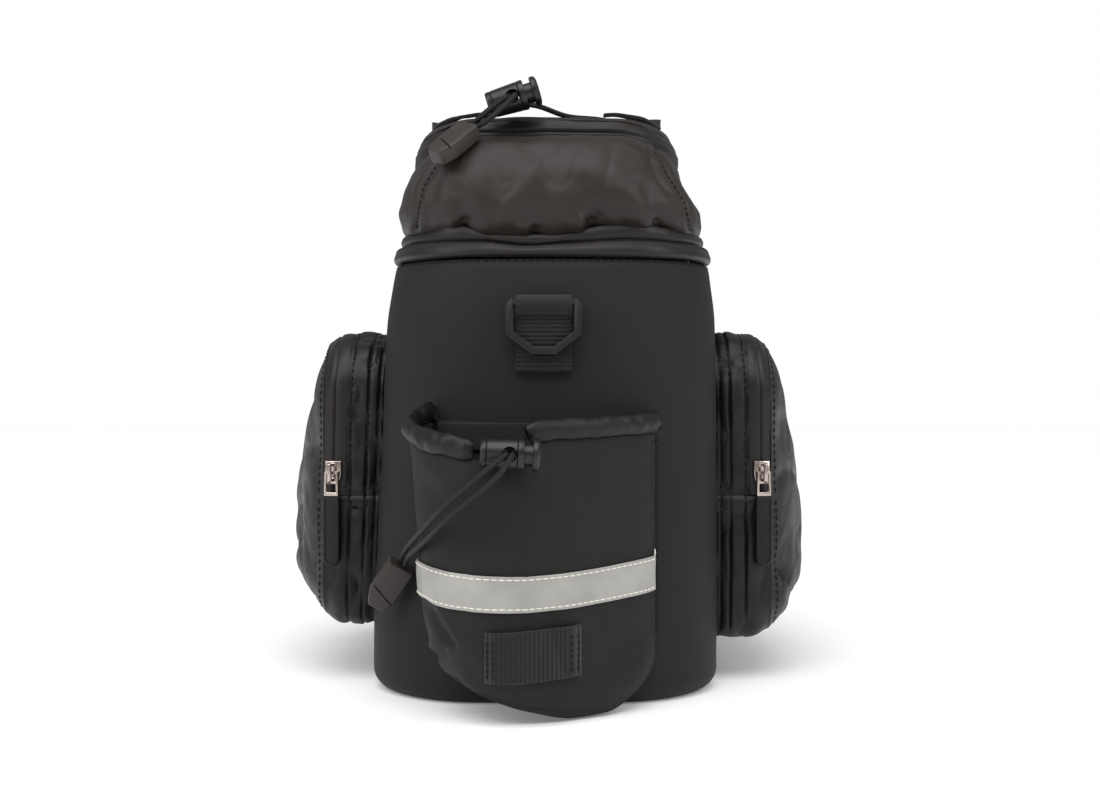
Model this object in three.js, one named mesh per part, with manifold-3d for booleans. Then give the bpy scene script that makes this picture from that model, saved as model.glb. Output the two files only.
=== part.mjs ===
// A soft trunk bag for a bicycle's rear rack: a padded tub, a zipped lid with a loose gusset, a laced
// elastic cord on top, two zipped side pockets, and a bottle pocket on the rear end.
// Millimetres. +Z is up, the rear end faces -Y, and the origin is the centre of the base.
import * as THREE from "three";
import { mergeVertices } from "three/addons/utils/BufferGeometryUtils.js";
import Module from "manifold-3d";

const wasm = await Module();
wasm.setup();

// Clearances between pieces that touch on the real bag
const GAP = 0.3;
const SEAT_GAP = 0.6; // between a flat-backed piece and the curved rear panel

// Tub
const BODY_LENGTH = 300;
const BODY_WIDTH = 162;
const BODY_HEIGHT = 197.5;
const BODY_WALL = 4;
const BODY_TAPER = 7.4; // how far the walls lean in by the top seam
const BODY_SWAY = 2.4; // how far the soft walls slump to the right by the top seam
const BASE_EDGE = 9; // rounding between the walls and the base
const REAR_CORNER = 50;
const FRONT_CORNER = 42;
const TIGHTEST_CORNER = 3; // of a ring far inside the outline
const REAR_BULGE = 8;
const FRONT_BULGE = 5;

// Main zip and the wave in its upper tape
const TAPE_WALL = 1.4;
const LOWER_TAPE_HEIGHT = 8;
const UPPER_TAPE_HEIGHT = 4;
const TAPE_LEAN = 4;
const TAPE_OVERHANG = 1;
const WAVE_HEIGHT = 3.5;

// Lid gusset, tier and top
const GUSSET_WALL = 1.6;
const GUSSET_RISE_REAR = 44;
const GUSSET_RISE_SIDE = 34;
const TIER_SETBACK_REAR = 38;
const TIER_SETBACK_SIDE = 17.5;
const TIER_SETBACK_FRONT = 20;
const TIER_HEIGHT = 12.5;
const TIER_EXTRA_REAR = 2; // how much taller the tier is at the rear
const TIER_LEAN = 2;
const TOP_WALL = 2.6;
const TOP_CROWN = 11.8;
const PUCKER_DEPTH = 3;
const PUCKER_WIDTH = 7;

// Side pockets
const POCKET_LENGTH = 176;
const POCKET_TOP = 166;
const POCKET_SEAM = 89; // height of the seam under the zip's ends
const POCKET_WALL = 1.6;
const POCKET_TOP_CORNER = 30;
const POCKET_BASE_CORNER = 15;
const POCKET_EDGE_X = 107; // outer edge of the gusset, from the bag's centre plane
const POCKET_SWELL = 23; // how far the outer panel stands out from that edge
const POCKET_DRAW = 3; // how far the gusset's outer edge draws in
const LEFT_POCKET_FOOT = 27.5;
const RIGHT_POCKET_FOOT = 20;
const ZIP_TAPE_WIDTH = 11;

// Zip slider and pull
const SLIDER_WIDTH = 8.6;
const SLIDER_LENGTH = 11;
const SLIDER_PLATE = 2.2;
const SLIDER_NOSE = 5.8; // width at its narrow end
const BRIDGE_WIDTH = 2;
const BRIDGE_BAR = 1.3;
const BRIDGE_OPENING = 2.8;
const BRIDGE_LENGTH = 8.4;
const SLIDER_Z = 100;
const LINK_BAR = 1.4;
const LINK_WIDTH = 7.6;
const LINK_LENGTH = 12;
const LINK_FOOT = 2; // the link's lower bar, which the tab is moulded on
const PULL_TAB_WIDTH = 8.4;
const PULL_TAB_LENGTH = 33;
const PULL_TAB_THICKNESS = 2;

// Ring tab
const WEBBING = 25;
const WEBBING_THICKNESS = 1.5;
const RING_X = -1.5;
const RING_Z = 177;
const RING_BAR = 3.4;
const RING_BEVEL = 2.4;
const RING_FOOT = 10.6; // width of its lowest edge
const RING_KNEE = 14.3; // from the bar's centre line to where the sides turn in
const RING_INNER_WIDTH = 26.6;
const RING_TILT = 5; // degrees that the ring leans out over its webbing
const RING_DROP = 23; // from the bar's centre line to the lowest edge
const RING_LOOP_CLEARANCE = 0.6;
const TAB_TAIL = 30; // from the bar's centre line to the tail's end

// Bottle pocket
const BOTTLE_RIGHT = 48; // where its straight side seam meets the panel
const BOTTLE_WIDTH = 106;
const BOTTLE_DEPTH = 54;
const BOTTLE_BASE = 1;
const BOTTLE_RIM = 125; // height of the mouth where it meets the panel
const FOOT_FADE = 0.4; // share of the height by which the rise of the foot has faded out
const BOTTLE_WALL = 1.6;
const MOUTH_BAND_HEIGHT = 11;
const MOUTH_BAND_THICKNESS = 1;
const CASING_HEIGHT = 9.4;
const CASING_THICKNESS = 6;
const STRIPE_HEIGHT = 14.2;
const STRIPE_THICKNESS = 0.8;
const LIGHT_LOOP_WIDTH = 40;
const LIGHT_LOOP_HEIGHT = 20;
const LIGHT_LOOP_X = -5.5;
const LIGHT_LOOP_Z = 30;
const LIGHT_LOOP_SLOPE = 1.5;
const LIGHT_LOOP_SLACK = 2.6;

// Cord lock, cord and cord end
const LOCK_RADIUS = 7;
const LOCK_END_RADIUS = 6;
const LOCK_LENGTH = 18;
const LOCK_BORE = 5;
const LOCK_CHAMFER = 0.8;
const LOCK_FLOOR = 1.2;
const LOCK_TRAVEL = 3.2;
const LOCK_HOLE = 3.2;
const LOCK_HOLE_AT = 3;
const STEM_CLEARANCE = 0.3;
const SLOT_CLEARANCE = 1; // round the two strands in the plunger
const CAP_THICKNESS = 3;
const CORD = 2.5;
const CORD_END_LENGTH = 24;
const CORD_END_WIDTH = 12.5;
const CORD_END_THICKNESS = 7.5;
const CORD_END_SHOULDER = 18.2; // length of its straight sides
const CORD_END_TIP = 7.5; // width of its lower end

// Elastic lacing on the top
const STRAP_START = 26; // where the straps begin on the rear edge, from the centre plane
const STRAP_WIDTH = 8;
const STRAP_THICKNESS = 1.2;
const STRAP_INSET = 6; // from the top's edge
const STRAP_SEAT = 0.9; // gap under the strap, which spans the top's facets
const ARCH_CLEARANCE = 2.4; // over the cord, where the strap arches
const ARCH_RUN = 5; // length over which an arch rises
const LACING_CLEARANCE = 2.4; // between the cord and the strap's edge
const LACING_SEAT = 0.7;
const LACING_YS = [-66, -20, 26, 72];

const finish = (color, roughness, metalness = 0) =>
  new THREE.MeshStandardMaterial({ color, roughness, metalness });
const COATED = finish(0x2e2e2d, 0.62);
const COATED_LID = finish(0x3a3735, 0.58);
const POCKET_CLOTH = finish(0x242323, 0.55);
const TAPE = finish(0x34312f, 0.5);
const WEB = finish(0x191918, 0.8);
const PLASTIC = finish(0x2a2a29, 0.45);
const ELASTIC = finish(0x222120, 0.7);
const REFLECTIVE = finish(0xa8a59f, 0.35, 0.2);
const NICKEL = finish(0xb9aba4, 0.3, 1);
const RUBBER = finish(0x141414, 0.6);

// Small helpers

const lerp = THREE.MathUtils.lerp;
const steps = (count, make) => Array.from({ length: count }, (_, i) => make(i / count, i));

// Value of a table's column at a place along its key column, with straight runs between rows.
function lookUp(table, key, at, column) {
  const last = table.length - 1;
  if (at <= table[0][key]) return table[0][column];
  if (at >= table[last][key]) return table[last][column];
  const i = table.findIndex((row) => row[key] >= at);
  const share = (at - table[i - 1][key]) / (table[i][key] - table[i - 1][key]);
  return lerp(table[i - 1][column], table[i][column], share);
}

// A geometry from points and triangles, with its faces turned outwards.
function solid(points, triangles) {
  let volume = 0;
  for (const [a, b, c] of triangles)
    volume += points[a].dot(new THREE.Vector3().crossVectors(points[b], points[c]));
  const turned = volume < 0 ? triangles.map(([a, b, c]) => [a, c, b]) : triangles;
  return new THREE.BufferGeometry().setFromPoints(points).setIndex(turned.flat());
}

// A quad's two triangles. The inside of a wall is split along the same diagonals as its outside.
const quad = (a, b, c, d, inside) =>
  inside
    ? [
        [a, b, d],
        [b, c, d],
      ]
    : [
        [a, b, c],
        [a, c, d],
      ];

// A ring's cap from a point in its middle, which is added to the points.
function fanCap(ring, start, points) {
  const middle = new THREE.Vector3();
  ring.forEach((p) => middle.addScaledVector(p, 1 / ring.length));
  points.push(middle);
  return ring.map((_, i) => [points.length - 1, start + ((i + 1) % ring.length), start + i]);
}

// A cap in a strip across a ring of two runs, the first from right to left and the second back again.
function stripCap(ring, start, firstRun) {
  const triangles = [];
  let a = 0;
  let b = ring.length - 1;
  while (a < firstRun - 1 || b > firstRun) {
    if (b === firstRun || (a < firstRun - 1 && ring[a + 1].x > ring[b - 1].x)) {
      triangles.push([start + a + 1, start + a, start + b]);
      a += 1;
    } else {
      triangles.push([start + b, start + b - 1, start + a]);
      b -= 1;
    }
  }
  return triangles;
}

// Joins closed rings of equal counts, outside rings first and then, from a given index, the inside ones.
// A loop joins the last ring to the first, otherwise both ends are capped: in a strip, or else in a fan.
function loft(rings, insideFrom, { loop = false, firstRun = 0 } = {}) {
  const count = rings[0].length;
  const points = rings.flat().map((p) => p.clone());
  const triangles = [];
  const spans = loop ? rings.length : rings.length - 1;
  for (let r = 0; r < spans; r++)
    for (let i = 0; i < count; i++) {
      const here = r * count;
      const next = ((r + 1) % rings.length) * count;
      const j = (i + 1) % count;
      triangles.push(...quad(here + i, here + j, next + j, next + i, r >= insideFrom));
    }
  const cap = (ring, start) =>
    firstRun ? stripCap(ring, start, firstRun) : fanCap(ring, start, points);
  if (!loop) {
    const last = rings.length - 1;
    triangles.push(...cap(rings[0], 0));
    triangles.push(...cap(rings[last], last * count).map((t) => t.reverse()));
  }
  return solid(points, triangles);
}

// The grid moved by a distance against its normals. Rows and columns may each close on themselves.
function offsetGrid(grid, distance, closedColumns = false) {
  const rows = grid.length;
  const columns = grid[0].length;
  const at = (r, c) => {
    const row = grid[THREE.MathUtils.clamp(r, 0, rows - 1)];
    return closedColumns
      ? row[(c + columns) % columns]
      : row[THREE.MathUtils.clamp(c, 0, columns - 1)];
  };
  return grid.map((row, r) =>
    row.map((p, c) => {
      const across = at(r, c + 1).clone().sub(at(r, c - 1));
      const along = at(r + 1, c).clone().sub(at(r - 1, c));
      const normal = across.cross(along).normalize();
      return p.clone().addScaledVector(normal, -distance);
    }),
  );
}

// A closed wall round the bag, from outer rings that run upwards.
function ringWall(outer, wall) {
  const inner = offsetGrid(outer, wall, true);
  return loft([...outer, ...inner.reverse()], outer.length, { loop: true });
}

// A slab between two open grids of the same size.
function slab(outer, inner) {
  const rings = outer.map((row, r) => [...row, ...[...inner[r]].reverse()]);
  const count = rings[0].length;
  const half = outer[0].length;
  const points = rings.flat().map((p) => p.clone());
  const triangles = [];
  for (let r = 0; r < rings.length - 1; r++)
    for (let i = 0; i < count; i++) {
      const j = (i + 1) % count;
      const here = r * count;
      const next = here + count;
      triangles.push(...quad(here + i, here + j, next + j, next + i, i >= half));
    }
  const end = (start, flip) => {
    for (let i = 0; i < half - 1; i++) {
      const a = start + i;
      const b = start + i + 1;
      const c = start + count - 2 - i;
      const d = start + count - 1 - i;
      triangles.push(flip ? [a, b, c] : [a, c, b], flip ? [a, c, d] : [a, d, c]);
    }
  };
  end(0, false);
  end((rings.length - 1) * count, true);
  return solid(points, triangles);
}

function regularSection(sides, radius) {
  const shape = new THREE.Shape();
  for (let i = 0; i < sides; i++) {
    const turn = (2 * Math.PI * i) / sides;
    const point = [radius * Math.cos(turn), radius * Math.sin(turn)];
    if (i) shape.lineTo(...point);
    else shape.moveTo(...point);
  }
  return shape;
}

function cordAlong(points, count, by = [0, 0, 0]) {
  const path = new THREE.CatmullRomCurve3(points.map((p) => new THREE.Vector3(...moved(p, by))));
  return new THREE.ExtrudeGeometry(regularSection(8, CORD / 2), {
    steps: count,
    extrudePath: path,
    bevelEnabled: false,
  });
}

function toManifold(geometry) {
  const bare = geometry.index ? geometry.toNonIndexed() : geometry.clone();
  bare.deleteAttribute("normal");
  bare.deleteAttribute("uv");
  const merged = mergeVertices(bare, 1e-4);
  return new wasm.Manifold(
    new wasm.Mesh({
      numProp: 3,
      vertProperties: merged.attributes.position.array,
      triVerts: new Uint32Array(merged.index.array),
    }),
  );
}

function fromManifold(made) {
  const mesh = made.getMesh();
  return new THREE.BufferGeometry()
    .setAttribute("position", new THREE.BufferAttribute(new Float32Array(mesh.vertProperties), 3))
    .setIndex(new THREE.BufferAttribute(new Uint32Array(mesh.triVerts), 1));
}

const box = (width, depth, height, x = 0, y = 0, z = 0) =>
  new THREE.BoxGeometry(width, depth, height).translate(x, y, z);

function piece(name, geometry, material) {
  const mesh = new THREE.Mesh(geometry, material);
  mesh.name = name;
  return mesh;
}

// Where a straight line from a point first meets a geometry.
function landing(geometry, from, direction) {
  const target = new THREE.Mesh(geometry, new THREE.MeshBasicMaterial({ side: THREE.DoubleSide }));
  const ray = new THREE.Raycaster(from, direction);
  return ray.intersectObject(target)[0].point;
}

// Outline of the bag seen from above

const REAR_STEPS = 8;
const REAR_CORNER_STEPS = 6;
const FRONT_STEPS = 3;
const FRONT_CORNER_STEPS = 4;
const SIDE_STEPS = 2;

// Points round the bag, rear edge first, then the right side. Each tells how far it belongs to an end.
function outline(inset) {
  const half = BODY_WIDTH / 2 - inset.side;
  const rearLine = -BODY_LENGTH / 2 + REAR_BULGE + inset.rear;
  const frontLine = BODY_LENGTH / 2 - FRONT_BULGE - inset.front;
  const rearRadius = Math.max(REAR_CORNER - inset.side, TIGHTEST_CORNER);
  const frontRadius = Math.max(FRONT_CORNER - inset.side, TIGHTEST_CORNER);
  const rearFlat = half - rearRadius;
  const frontFlat = half - frontRadius;
  const crown = (x) => 1 - (x / half) ** 2;
  const rearPoint = (x, y, share) => ({ x, y: y - REAR_BULGE * crown(x), rear: share, front: 0 });
  const frontPoint = (x, y, share) => ({ x, y: y + FRONT_BULGE * crown(x), rear: 0, front: share });
  const corner = (point, flat, radius, centreY, turn) =>
    point(
      flat * Math.sign(Math.cos(turn) || 1) + radius * Math.cos(turn),
      centreY + radius * Math.sin(turn),
      Math.sin(turn) ** 2,
    );
  const quarter = Math.PI / 2;
  const rearCentre = rearLine + rearRadius;
  const frontCentre = frontLine - frontRadius;
  const sidePoint = (x, share) => ({ x, y: lerp(rearCentre, frontCentre, share), rear: 0, front: 0 });
  const turnAt = (start, share) => start + Math.max(share, 1e-9) * quarter;
  return [
    ...steps(REAR_STEPS, (s) => rearPoint(lerp(-rearFlat, rearFlat, s), rearLine, 1)),
    ...steps(REAR_CORNER_STEPS, (s) =>
      corner(rearPoint, rearFlat, rearRadius, rearCentre, turnAt(-quarter, s))),
    ...steps(SIDE_STEPS, (s) => sidePoint(half, s)),
    ...steps(FRONT_CORNER_STEPS, (s) =>
      corner(frontPoint, frontFlat, frontRadius, frontCentre, turnAt(0, s))),
    ...steps(FRONT_STEPS, (s) => frontPoint(lerp(frontFlat, -frontFlat, s), frontLine, 1)),
    ...steps(FRONT_CORNER_STEPS, (s) =>
      corner(frontPoint, frontFlat, frontRadius, frontCentre, turnAt(quarter, s))),
    ...steps(SIDE_STEPS, (s) => sidePoint(-half, 1 - s)),
    ...steps(REAR_CORNER_STEPS, (s) =>
      corner(rearPoint, rearFlat, rearRadius, rearCentre, turnAt(2 * quarter, s))),
  ];
}

// A ring at one inset, or at one for each side. Its height may differ at the rear, sides and front.
function ring(inset, height, sway, shift = () => ({ inward: 0, up: 0 })) {
  const insets = typeof inset === "number" ? { side: inset, rear: inset, front: inset } : inset;
  const heights = typeof height === "number" ? { side: height, rear: height, front: height } : height;
  return outline(insets).map((p) => {
    const z =
      heights.side + (heights.rear - heights.side) * p.rear + (heights.front - heights.side) * p.front;
    const moved = shift(p);
    return new THREE.Vector3(p.x + BODY_SWAY * sway, p.y + moved.inward, z + moved.up);
  });
}

// How far the tub's walls have leaned in and slumped at each height, as shares of the named sizes
const WALL_LEAN = [
  { height: 0, taper: 0, sway: -0.4 },
  { height: 0.08, taper: 0, sway: -0.4 },
  { height: 0.5, taper: 0.18, sway: 0.3 },
  { height: 0.86, taper: 0.5, sway: 0.75 },
  { height: 0.95, taper: 0.78, sway: 0.95 },
  { height: 1, taper: 1, sway: 1 },
];
const wallInset = (z) => BODY_TAPER * lookUp(WALL_LEAN, "height", z / BODY_HEIGHT, "taper");
const wallSway = (z) => lookUp(WALL_LEAN, "height", z / BODY_HEIGHT, "sway");
const sideFace = (z, side) => side * (BODY_WIDTH / 2 - wallInset(z)) + BODY_SWAY * wallSway(z);

// The rear panel's Y at a place across and up.
function rearFace(across, z) {
  const x = across - BODY_SWAY * wallSway(z);
  const inset = wallInset(z);
  const half = BODY_WIDTH / 2 - inset;
  const radius = REAR_CORNER - inset;
  const past = Math.max(Math.abs(x) - (half - radius), 0);
  const round = radius - Math.sqrt(Math.max(radius ** 2 - past ** 2, 0));
  return -BODY_LENGTH / 2 + inset + round + REAR_BULGE * (x / half) ** 2;
}

// Tub

function tub() {
  const foot = WALL_LEAN[0].sway;
  const edge = steps(3, (s) => {
    const turn = (s * Math.PI) / 2;
    return ring(BASE_EDGE * (1 - Math.sin(turn)), BASE_EDGE * (1 - Math.cos(turn)), foot);
  });
  const walls = WALL_LEAN.slice(1).map((row) =>
    ring(BODY_TAPER * row.taper, BODY_HEIGHT * row.height, row.sway),
  );
  const inside = [1, 0.86, 0.5, 0.08].map((share) => {
    const z = BODY_HEIGHT * share;
    return ring(wallInset(z) + BODY_WALL, z, wallSway(z));
  });
  const floor = ring(BODY_WALL + BASE_EDGE * 0.6, BODY_WALL, foot);
  return loft([...edge, ...walls, ...inside, floor], edge.length + walls.length);
}

// Lid

// Height of the wave in the zip's upper tape: across as a share of the bag's half width, rise of the wave's
const MOUTH_WAVE = [
  { across: -0.76, rise: 0 },
  { across: -0.56, rise: 1 },
  { across: -0.32, rise: -0.5 },
  { across: 0, rise: -0.5 },
  { across: 0.26, rise: 0.4 },
  { across: 0.45, rise: 0.9 },
  { across: 0.62, rise: 1 },
  { across: 0.84, rise: 0 },
];
const mouthWave = (p) =>
  p.rear * WAVE_HEIGHT * lookUp(MOUTH_WAVE, "across", p.x / (BODY_WIDTH / 2), "rise");

// Pits where the gusset is gathered into the zip: across as above, depth as a share of the pucker's
const PUCKERS = [
  { across: -0.47, depth: 1 },
  { across: -0.06, depth: 0.6 },
  { across: 0.28, depth: 0.9 },
  { across: 0.66, depth: 0.8 },
];
const pucker = (p) =>
  PUCKERS.reduce((sum, row) => {
    const away = (p.x - (row.across * BODY_WIDTH) / 2) / PUCKER_WIDTH;
    return sum + p.rear * PUCKER_DEPTH * row.depth * Math.exp(-(away ** 2));
  }, 0);

const ZIP_BASE = BODY_HEIGHT + GAP;
const ZIP_LINE = ZIP_BASE + LOWER_TAPE_HEIGHT;
const ZIP_INSET = BODY_TAPER - TAPE_OVERHANG;
const LID_BASE = ZIP_LINE + GAP + UPPER_TAPE_HEIGHT + GAP;

function lowerTape() {
  const rows = [
    { lean: 0.15, rise: 0 },
    { lean: 0, rise: 0.22 },
    { lean: 0.9, rise: 1 },
  ];
  return ringWall(
    rows.map((row) =>
      ring(ZIP_INSET + TAPE_LEAN * row.lean, ZIP_BASE + LOWER_TAPE_HEIGHT * row.rise, 1),
    ),
    TAPE_WALL,
  );
}

function upperTape() {
  const inset = ZIP_INSET + TAPE_LEAN;
  return ringWall(
    [
      ring(inset, ZIP_LINE + GAP, 1),
      ring(inset, ZIP_LINE + GAP + UPPER_TAPE_HEIGHT, 1, (p) => ({ inward: 0, up: mouthWave(p) })),
    ],
    TAPE_WALL,
  );
}

// The gusset's sections from the zip to the tier, as shares of its rises, of the tier's setbacks and of the
// sway. At the rear it rises to a crest and falls into the fold in front of the tier.
const GUSSET_ROWS = [
  { sideRise: 0, sideIn: 0.68, rearRise: 0, rearIn: 0.32, sway: 1, wave: 1, gather: 1 },
  { sideRise: 0.14, sideIn: 0.59, rearRise: 0.12, rearIn: 0.17, sway: 0.85, wave: 0.6, gather: 0.8 },
  { sideRise: 0.3, sideIn: 0.57, rearRise: 0.3, rearIn: 0.12, sway: 0.55, wave: 0.1, gather: 0.2 },
  { sideRise: 0.48, sideIn: 0.73, rearRise: 0.52, rearIn: 0.16, sway: 0, wave: 0, gather: 0 },
  { sideRise: 0.66, sideIn: 0.89, rearRise: 0.76, rearIn: 0.29, sway: -0.6, wave: 0, gather: 0 },
  { sideRise: 0.8, sideIn: 0.97, rearRise: 0.93, rearIn: 0.46, sway: -0.6, wave: 0, gather: 0 },
  { sideRise: 0.9, sideIn: 0.99, rearRise: 1, rearIn: 0.66, sway: -0.3, wave: 0, gather: 0 },
  { sideRise: 0.96, sideIn: 1, rearRise: 0.95, rearIn: 0.86, sway: -0.2, wave: 0, gather: 0 },
  { sideRise: 1, sideIn: 1, rearRise: 0.88, rearIn: 1, sway: -0.2, wave: 0, gather: 0 },
];
const TIER_SWAY = GUSSET_ROWS[GUSSET_ROWS.length - 1].sway;
const tierInset = (lean) => ({
  side: TIER_SETBACK_SIDE + lean,
  rear: TIER_SETBACK_REAR + lean,
  front: TIER_SETBACK_FRONT + lean,
});

function gusset() {
  const rows = GUSSET_ROWS.map((row) =>
    ring(
      {
        side: row.sideIn * TIER_SETBACK_SIDE,
        rear: row.rearIn * TIER_SETBACK_REAR,
        front: row.sideIn * TIER_SETBACK_FRONT,
      },
      {
        side: LID_BASE + row.sideRise * GUSSET_RISE_SIDE,
        rear: LID_BASE + row.rearRise * GUSSET_RISE_REAR,
        front: LID_BASE + row.sideRise * GUSSET_RISE_SIDE,
      },
      row.sway,
      (p) => ({ inward: row.gather * pucker(p), up: row.wave * mouthWave(p) }),
    ),
  );
  return ringWall(rows, GUSSET_WALL);
}

const GUSSET_END = GUSSET_ROWS[GUSSET_ROWS.length - 1];
const TIER_BASE = {
  side: LID_BASE + GUSSET_END.sideRise * GUSSET_RISE_SIDE + GAP,
  rear: LID_BASE + GUSSET_END.rearRise * GUSSET_RISE_REAR + GAP,
  front: LID_BASE + GUSSET_END.sideRise * GUSSET_RISE_SIDE + GAP,
};
// Heights round the tier, at a share of its own height.
const tierHeights = (share, above = 0) => ({
  side: TIER_BASE.side + TIER_HEIGHT * share + above,
  rear: TIER_BASE.rear + (TIER_HEIGHT + TIER_EXTRA_REAR) * share + above,
  front: TIER_BASE.front + TIER_HEIGHT * share + above,
});

function tierBand() {
  return ringWall(
    [
      ring(tierInset(0), tierHeights(0), TIER_SWAY),
      ring(tierInset(-0.1 * TIER_LEAN), tierHeights(0.4), TIER_SWAY),
      ring(tierInset(TIER_LEAN), tierHeights(1), TIER_SWAY),
    ],
    TAPE_WALL,
  );
}

// The top's rings, inwards from its edge: shares of the crown's rise and of the way to the centre line
const TOP_ROWS = [
  { rise: 0, inward: 0 },
  { rise: 0.36, inward: 0.046 },
  { rise: 0.52, inward: 0.166 },
  { rise: 0.78, inward: 0.386 },
  { rise: 0.94, inward: 0.644 },
];

function topPanel() {
  const edgeInset = tierInset(TIER_LEAN);
  const edge = tierHeights(1, GAP);
  const reach = BODY_WIDTH / 2 - edgeInset.side;
  const centre = edge.side + TOP_CROWN;
  const ringAt = (row, drop) => {
    const by = reach * row.inward;
    const up = (from) => lerp(from, centre, row.rise) - drop;
    return ring(
      { side: edgeInset.side + by, rear: edgeInset.rear + by, front: edgeInset.front + by },
      { side: up(edge.side), rear: up(edge.rear), front: up(edge.front) },
      TIER_SWAY,
    );
  };
  const outside = TOP_ROWS.map((row) => ringAt(row, 0));
  const lip = ring(
    { side: edgeInset.side + TOP_WALL, rear: edgeInset.rear + TOP_WALL, front: edgeInset.front + TOP_WALL },
    edge,
    TIER_SWAY,
  );
  const inside = [TOP_ROWS[2], TOP_ROWS[4]].map((row) => ringAt(row, TOP_WALL));
  return loft([...outside.reverse(), lip, ...inside], outside.length);
}

// Side pockets

// Upper run of the pocket's edge, from the rear seam over the top to the front seam, as points (y, z).
function upperEdge(shrink) {
  const y = POCKET_LENGTH / 2 - shrink;
  const top = POCKET_TOP - shrink;
  const radius = POCKET_TOP_CORNER;
  const arc = (turn, sign) => [
    sign * (y - radius + radius * Math.cos(turn)),
    top - radius + radius * Math.sin(turn),
  ];
  const quarter = Math.PI / 2;
  const rise = (share) => lerp(POCKET_SEAM, top - radius, share);
  return [
    ...steps(2, (s) => [-y, rise(s)]),
    ...steps(4, (s) => arc(s * quarter, -1)),
    ...steps(3, (s) => [lerp(-(y - radius), y - radius, s), top]),
    ...steps(4, (s) => arc((1 - s) * quarter, 1)),
    ...steps(2, (s) => [y, rise(1 - s)]),
    [y, POCKET_SEAM],
  ];
}

// Lower run, from the front seam under the base to the rear seam.
function lowerEdge(shrink, foot) {
  const y = POCKET_LENGTH / 2 - shrink;
  const base = foot + shrink;
  const radius = POCKET_BASE_CORNER;
  const arc = (turn, sign) => [
    sign * (y - radius + radius * Math.cos(turn)),
    base + radius - radius * Math.sin(turn),
  ];
  const quarter = Math.PI / 2;
  const fall = (share) => lerp(POCKET_SEAM, base + radius, share);
  return [
    ...steps(2, (s) => [y, fall(s)]),
    ...steps(3, (s) => arc(s * quarter, 1)),
    ...steps(3, (s) => [lerp(y - radius, -(y - radius), s), base]),
    ...steps(3, (s) => arc((1 - s) * quarter, -1)),
    ...steps(2, (s) => [-y, fall(1 - s)]),
    [-y, POCKET_SEAM],
  ];
}

// The gusset from the tub out to the outer panel, as shares of its width and of how far it draws in
const POCKET_BAND = [
  { out: 0, draw: 0 },
  { out: 0.35, draw: -0.53 },
  { out: 0.66, draw: -0.33 },
  { out: 1, draw: 1 },
];
const bandShrink = (out) => POCKET_DRAW * lookUp(POCKET_BAND, "out", out, "draw");
const ZIP_FROM = 1 - ZIP_TAPE_WIDTH / (POCKET_EDGE_X - sideFace(POCKET_SEAM, 1));
const BAND_SEAM = GAP / 2 / (POCKET_EDGE_X - sideFace(POCKET_SEAM, 1));
const BAND_OUTS = [0, POCKET_BAND[1].out, ZIP_FROM - BAND_SEAM, ZIP_FROM + BAND_SEAM, 1];

function bandRow(edge, out, pocket, inwards = 0) {
  return edge(bandShrink(out) + inwards, pocket.foot).map(([y, z]) => {
    const root = sideFace(z, pocket.side) + pocket.side * SEAT_GAP;
    return new THREE.Vector3(lerp(root, pocket.side * POCKET_EDGE_X, out), y, z);
  });
}

// Some rows of a run's band, as one piece. The upper run stops just above the seam.
function bandPiece(edge, from, to, pocket, trim) {
  const outs = BAND_OUTS.slice(from, to + 1);
  const [outer, inner] = [0, POCKET_WALL].map((wall) => outs.map((out) => bandRow(edge, out, pocket, wall)));
  for (const row of [...outer, ...inner]) {
    row[0].z += trim;
    row[row.length - 1].z += trim;
  }
  return slab(outer, inner);
}

// The load hangs low and differs in the two pockets: share of the swell at each height
const POCKET_SAG = [
  { height: 0, left: 1.15, right: 1.3 },
  { height: 0.2, left: 1.08, right: 1.14 },
  { height: 0.45, left: 0.98, right: 1 },
  { height: 0.7, left: 0.68, right: 0.76 },
  { height: 1, left: 0.4, right: 0.6 },
];
const POCKETS = [
  { name: "left_pocket", side: -1, foot: LEFT_POCKET_FOOT, sag: "left" },
  { name: "right_pocket", side: 1, foot: RIGHT_POCKET_FOOT, sag: "right" },
];
const PANEL_SCALES = [1, 0.93, 0.8, 0.58, 0.3]; // rings of the outer panel, as shares of its edge

// Dents in the outer panel: place as shares of the pocket's length and height, reach and depth as shares of
// its swell
const POCKET_DENTS = [
  { along: -0.3, height: 0.36, reach: 0.65, depth: 0.13 },
  { along: -0.42, height: 0.66, reach: 0.5, depth: 0.09 },
  { along: 0.05, height: 0.22, reach: 0.95, depth: 0.1 },
];

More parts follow.
